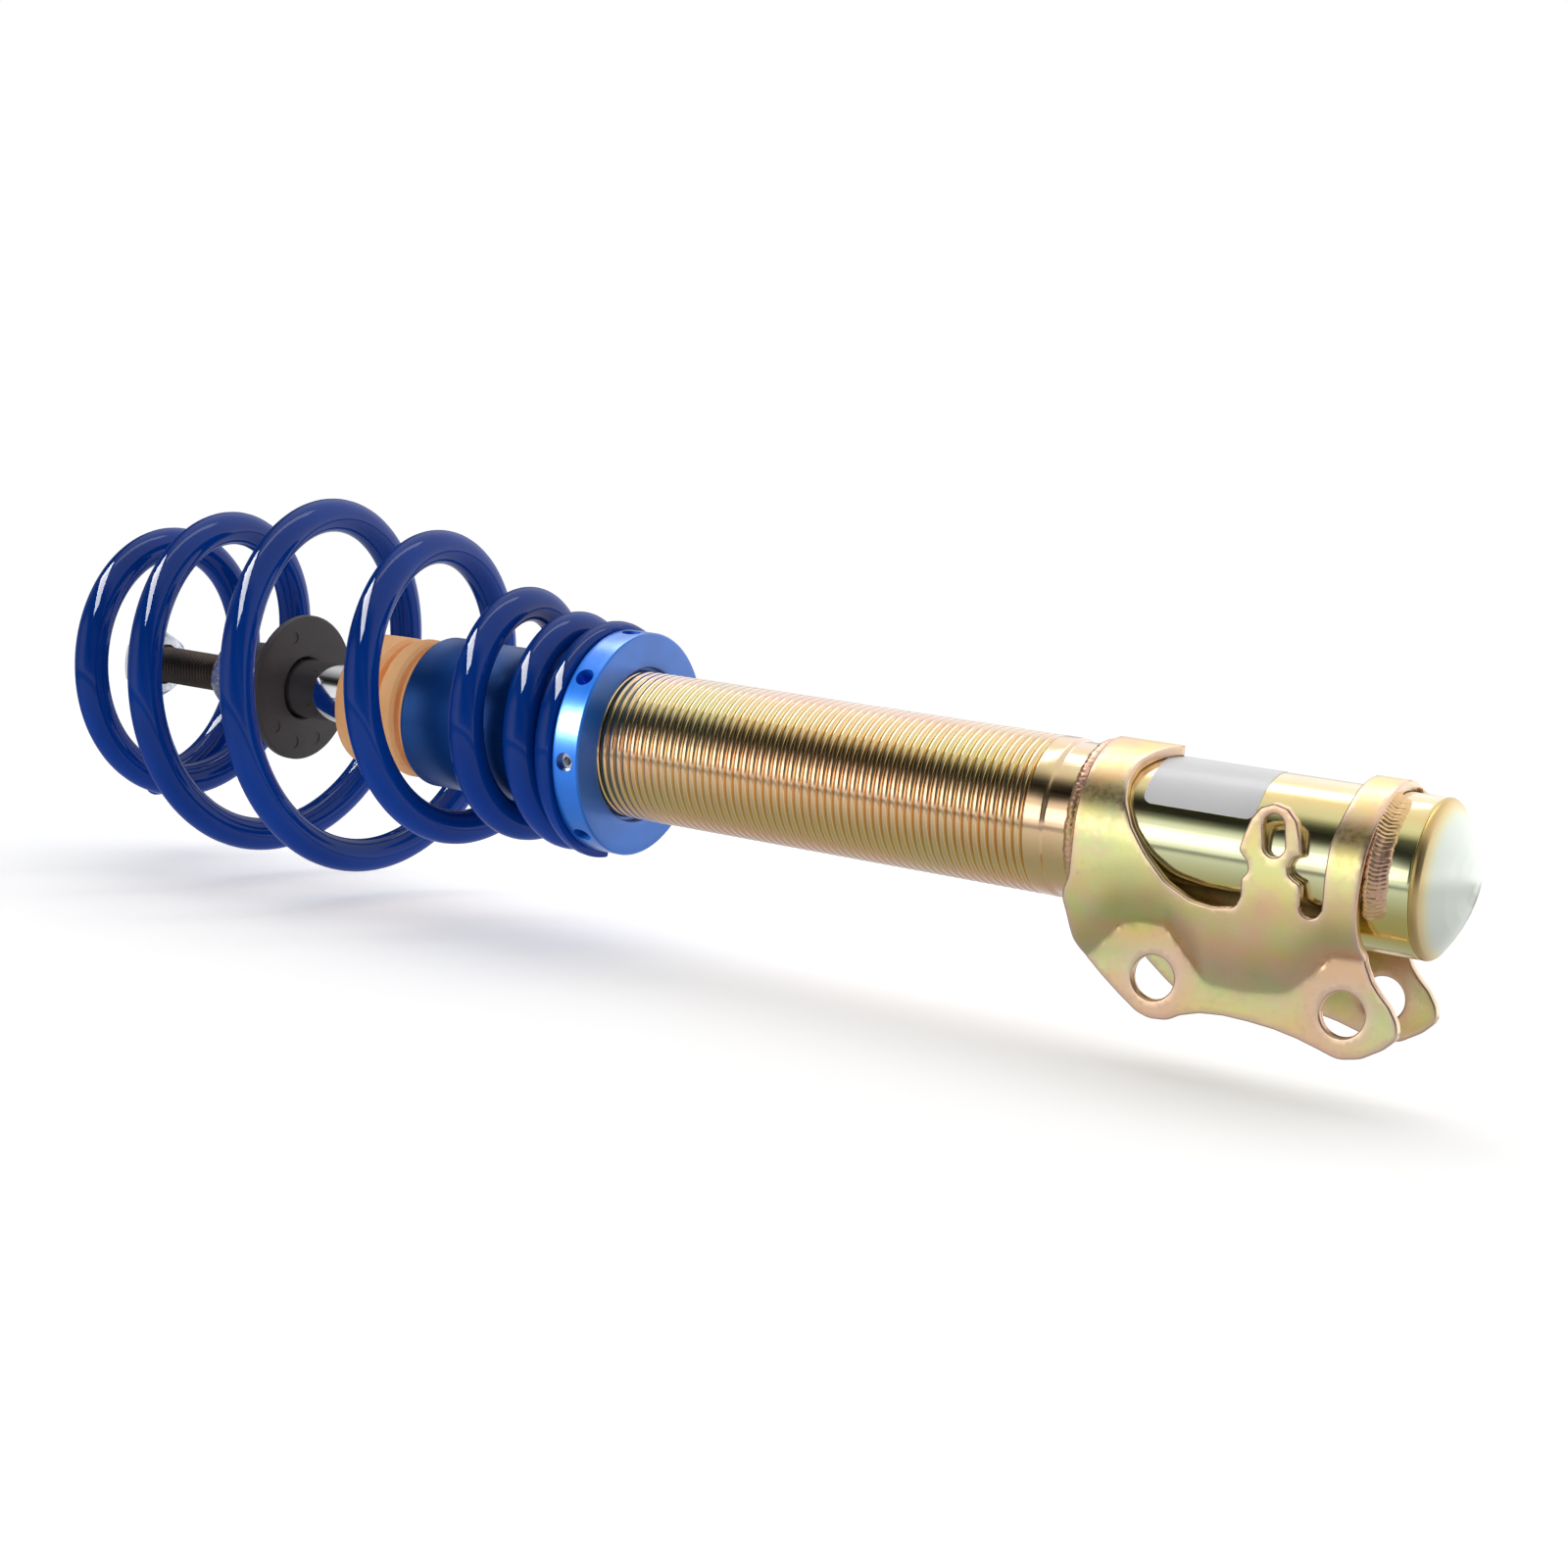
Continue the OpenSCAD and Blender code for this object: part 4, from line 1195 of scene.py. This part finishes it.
# ---------------------------------------------------------------- camera, floor and light
scene = bpy.context.scene
cam = bpy.data.cameras.new("camera")
cam.sensor_width = 36.0
cam.lens = 65.73
cam.clip_start, cam.clip_end = 0.05, 50
camo = bpy.data.objects.new("camera", cam)
scene.collection.objects.link(camo)
right, up, back = Vector((0.85309, 0.51371, 0.09141)), Vector((-0.14696, 0.06848, 0.98677)), Vector((0.50065, -0.85523, 0.13391))
mt = Matrix((right, up, back)).transposed().to_4x4()
mt.translation = Vector((0.3394, -0.8367, 0.1683))
camo.matrix_world = mt
scene.camera = camo

FLOOR_Z = (H - 75.0) / 1000
fv, ff = [], []
fn = 60
for i in range(fn + 1):
    for j in range(fn + 1):
        fv.append((-2.6 + 5.2 * i / fn, -2.6 + 5.2 * j / fn, FLOOR_Z))
for i in range(fn):
    for j in range(fn):
        a = i * (fn + 1) + j
        ff.append((a, a + fn + 1, a + fn + 2, a + 1))
fme = bpy.data.meshes.new("floor")
fme.from_pydata(fv, [], ff)
floor = bpy.data.objects.new("floor", fme)
scene.collection.objects.link(floor)
fm = Mat("floor_white")
fm.color(fm.mix(fm.noise(3.0, 2.0, 0.5), (0.90, 0.90, 0.90), (0.92, 0.92, 0.92)))
fm.set(Roughness=0.75, Specular_IOR_Level=0.1, Emission_Color=(1, 1, 1, 1), Emission_Strength=0.42)
tr = fm.n("ShaderNodeBsdfTransparent")
mx = fm.n("ShaderNodeMixShader")
c = fm.xyz()
dist2 = fm.math("SQRT", fm.math("ADD", fm.math("MULTIPLY", c[0], c[0]), fm.math("MULTIPLY", c[1], c[1])))
fm.link(fm.remap(dist2, 0.45, 1.6, 0.0, 1.0), mx.inputs[0])
fm.link(fm.b.outputs[0], mx.inputs[1])
fm.link(tr.outputs[0], mx.inputs[2])
fm.link(mx.outputs[0], fm.out.inputs[0])
fme.materials.append(fm.m)
floor.visible_glossy = False

world = bpy.data.worlds.new("studio")
scene.world = world
world.use_nodes = True
wt = world.node_tree
wt.nodes.clear()


def wn(kind, **kw):
    n = wt.nodes.new(kind)
    for k, v in kw.items():
        setattr(n, k, v)
    return n


def wmath(op, a, b=0.0):
    n = wn("ShaderNodeMath", operation=op)
    for i, v in enumerate((a, b)):
        if hasattr(v, "links"):
            wt.links.new(v, n.inputs[i])
        else:
            n.inputs[i].default_value = v
    return n.outputs[0]


def wramp(v, stops):
    """Brightness against a value from -1 to 1."""
    x = wmath("MULTIPLY_ADD", v, 0.5)
    x.node.inputs[2].default_value = 0.5
    r = wn("ShaderNodeValToRGB")
    wt.links.new(x, r.inputs[0])
    el = r.color_ramp.elements
    while len(el) < len(stops):
        el.new(0.5)
    for e, (p, c) in zip(el, stops):
        e.position = (p + 1) / 2
        e.color = (c, c, c, 1)
    return r.outputs[0]


wc = wn("ShaderNodeTexCoord").outputs["Generated"]
wx = wn("ShaderNodeSeparateXYZ")
wt.links.new(wc, wx.inputs[0])
dot = wn("ShaderNodeVectorMath", operation="DOT_PRODUCT")
wt.links.new(wc, dot.inputs[0])
dot.inputs[1].default_value = (0.54, 0.375, 0.75)
u = dot.outputs["Value"]
# ceiling and front softboxes with the dark gap between them
above = wramp(u, [(-1.0, 0.95), (-0.26, 0.90), (-0.16, 0.30), (-0.08, 0.07), (0.05, 0.06), (0.14, 0.26), (0.24, 0.46), (0.36, 0.80), (0.5, 0.88), (0.8, 0.82), (1.0, 0.80)])
# table below the horizon
below = wramp(wx.outputs[2], [(-1.0, 0.34), (-0.80, 0.36), (-0.5, 0.52), (-0.27, 0.70), (-0.23, 0.22), (-0.18, 0.22), (-0.14, 1.0), (1.0, 1.0)])
mask = wn("ShaderNodeMapRange")
wt.links.new(wx.outputs[2], mask.inputs[0])
mask.inputs[1].default_value, mask.inputs[2].default_value = -0.12, 0.12
mixa = wn("ShaderNodeMix", data_type="FLOAT")
wt.links.new(mask.outputs[0], mixa.inputs[0])
mixa.inputs[2].default_value = 1.0
wt.links.new(above, mixa.inputs[3])
level = wmath("MULTIPLY", mixa.outputs[0], below)
# a little more light from behind
backl = wn("ShaderNodeMapRange")
wt.links.new(wx.outputs[1], backl.inputs[0])
backl.inputs[1].default_value, backl.inputs[2].default_value = -0.2, 1.0
backl.inputs[3].default_value, backl.inputs[4].default_value = 1.0, 1.35
level = wmath("MULTIPLY", level, backl.outputs[0])
# the dark gap again, as a slot that runs along the strut, so rounded ridges show it too
gd = wn("ShaderNodeVectorMath", operation="DOT_PRODUCT")
wt.links.new(wc, gd.inputs[0])
gd.inputs[1].default_value = (0.0, 0.731, 0.682)
yz = wmath("SQRT", wmath("ADD", wmath("MULTIPLY", wx.outputs[1], wx.outputs[1]), wmath("MULTIPLY", wx.outputs[2], wx.outputs[2])))
g = wmath("DIVIDE", gd.outputs["Value"], wmath("MAXIMUM", yz, 0.02))
slot_ = wramp(g, [(-1.0, 1.0), (-0.36, 1.0), (-0.14, 0.20), (0.10, 0.18), (0.34, 1.0), (1.0, 1.0)])
zup = wn("ShaderNodeMapRange")
wt.links.new(wx.outputs[2], zup.inputs[0])
zup.inputs[1].default_value, zup.inputs[2].default_value = 0.0, 0.10
smix = wn("ShaderNodeMix", data_type="FLOAT")
wt.links.new(zup.outputs[0], smix.inputs[0])
smix.inputs[2].default_value = 1.0
wt.links.new(slot_, smix.inputs[3])
level = wmath("MULTIPLY", level, smix.outputs[0])
# the side the viewer stands on is dark above the table
cd = wn("ShaderNodeVectorMath", operation="DOT_PRODUCT")
wt.links.new(wc, cd.inputs[0])
cd.inputs[1].default_value = (0.55, -0.81, 0.20)
cz = wramp(cd.outputs["Value"], [(-1.0, 1.0), (0.62, 1.0), (0.80, 0.26), (1.0, 0.22)])
zup2 = wn("ShaderNodeMapRange")
wt.links.new(wx.outputs[2], zup2.inputs[0])
zup2.inputs[1].default_value, zup2.inputs[2].default_value = -0.14, -0.06
cmix = wn("ShaderNodeMix", data_type="FLOAT")
wt.links.new(zup2.outputs[0], cmix.inputs[0])
cmix.inputs[2].default_value = 1.0
wt.links.new(cz, cmix.inputs[3])
level = wmath("MULTIPLY", level, cmix.outputs[0])
# the far end of the studio, past the rod's top, is dark
endl = wn("ShaderNodeMapRange")
wt.links.new(wx.outputs[0], endl.inputs[0])
endl.inputs[1].default_value, endl.inputs[2].default_value = -0.93, -0.62
endl.inputs[3].default_value, endl.inputs[4].default_value = 0.30, 1.0
level = wmath("MULTIPLY", level, endl.outputs[0])
bg = wn("ShaderNodeBackground")
wt.links.new(level, bg.inputs[0])
bg.inputs[1].default_value = 1.0
bg2 = wn("ShaderNodeBackground")
bg2.inputs[0].default_value = (1, 1, 1, 1)
lp = wn("ShaderNodeLightPath")
mxs = wn("ShaderNodeMixShader")
wt.links.new(lp.outputs["Is Camera Ray"], mxs.inputs[0])
wt.links.new(bg.outputs[0], mxs.inputs[1])
wt.links.new(bg2.outputs[0], mxs.inputs[2])
wo = wn("ShaderNodeOutputWorld")
wt.links.new(mxs.outputs[0], wo.inputs[0])


def area(name, loc, target, sx_, sy_, power, col=(1, 1, 1)):
    l = bpy.data.lights.new(name, "AREA")
    l.shape = "RECTANGLE"
    l.size, l.size_y = sx_, sy_
    l.energy = power
    l.color = col
    o = bpy.data.objects.new(name, l)
    scene.collection.objects.link(o)
    o.location = loc
    o.rotation_euler = (Vector(target) - Vector(loc)).to_track_quat("-Z", "Y").to_euler()
    return o


area("top_strip", (-0.50, 0.25, 1.15), (-0.1, 0, 0.04), 1.2, 0.20, 2.0)
gloss = area("paint_strip", (-0.75, -0.60, 0.95), (-0.30, 0, 0.04), 1.6, 0.32, 44.0)
gloss.visible_diffuse = False
coll = bpy.data.collections.new("painted")
for o in (spring,):
    coll.objects.link(o)
gloss.light_linking.receiver_collection = coll
rim_light = area("collar_front_panel", (-0.66, -0.78, 0.30), (-0.215, 0, 0.06), 0.30, 0.32, 12.0)
back_light = area("collar_top_panel", (-0.55, 0.42, 0.85), (-0.215, 0, 0.04), 0.50, 0.30, 2.6)
turned = bpy.data.collections.new("turned")
for o in bpy.data.objects:
    if o.name.startswith("adjuster_collar_visual"):
        turned.objects.link(o)
rim_light.light_linking.receiver_collection = turned
pressed = bpy.data.collections.new("pressed")
for o in bpy.data.objects:
    if o.name.startswith(("knuckle_bracket_visual", "strut_tube_visual")):
        pressed.objects.link(o)
foam_panel = area("foam_panel", (-0.55, -0.75, 0.55), (-0.30, 0, 0.04), 0.5, 0.5, 2.2)
soft = bpy.data.collections.new("soft")
soft.objects.link(bump)
foam_panel.light_linking.receiver_collection = soft
sheet_panel = area("sheet_panel", (-0.50, -0.95, 0.16), (0.03, 0, 0.02), 1.0, 0.32, 1.05, (1.0, 0.92, 0.76))
sheet_panel.light_linking.receiver_collection = pressed
back_light.light_linking.receiver_collection = turned
scene.view_settings.view_transform = "Standard"
scene.view_settings.look = "None"
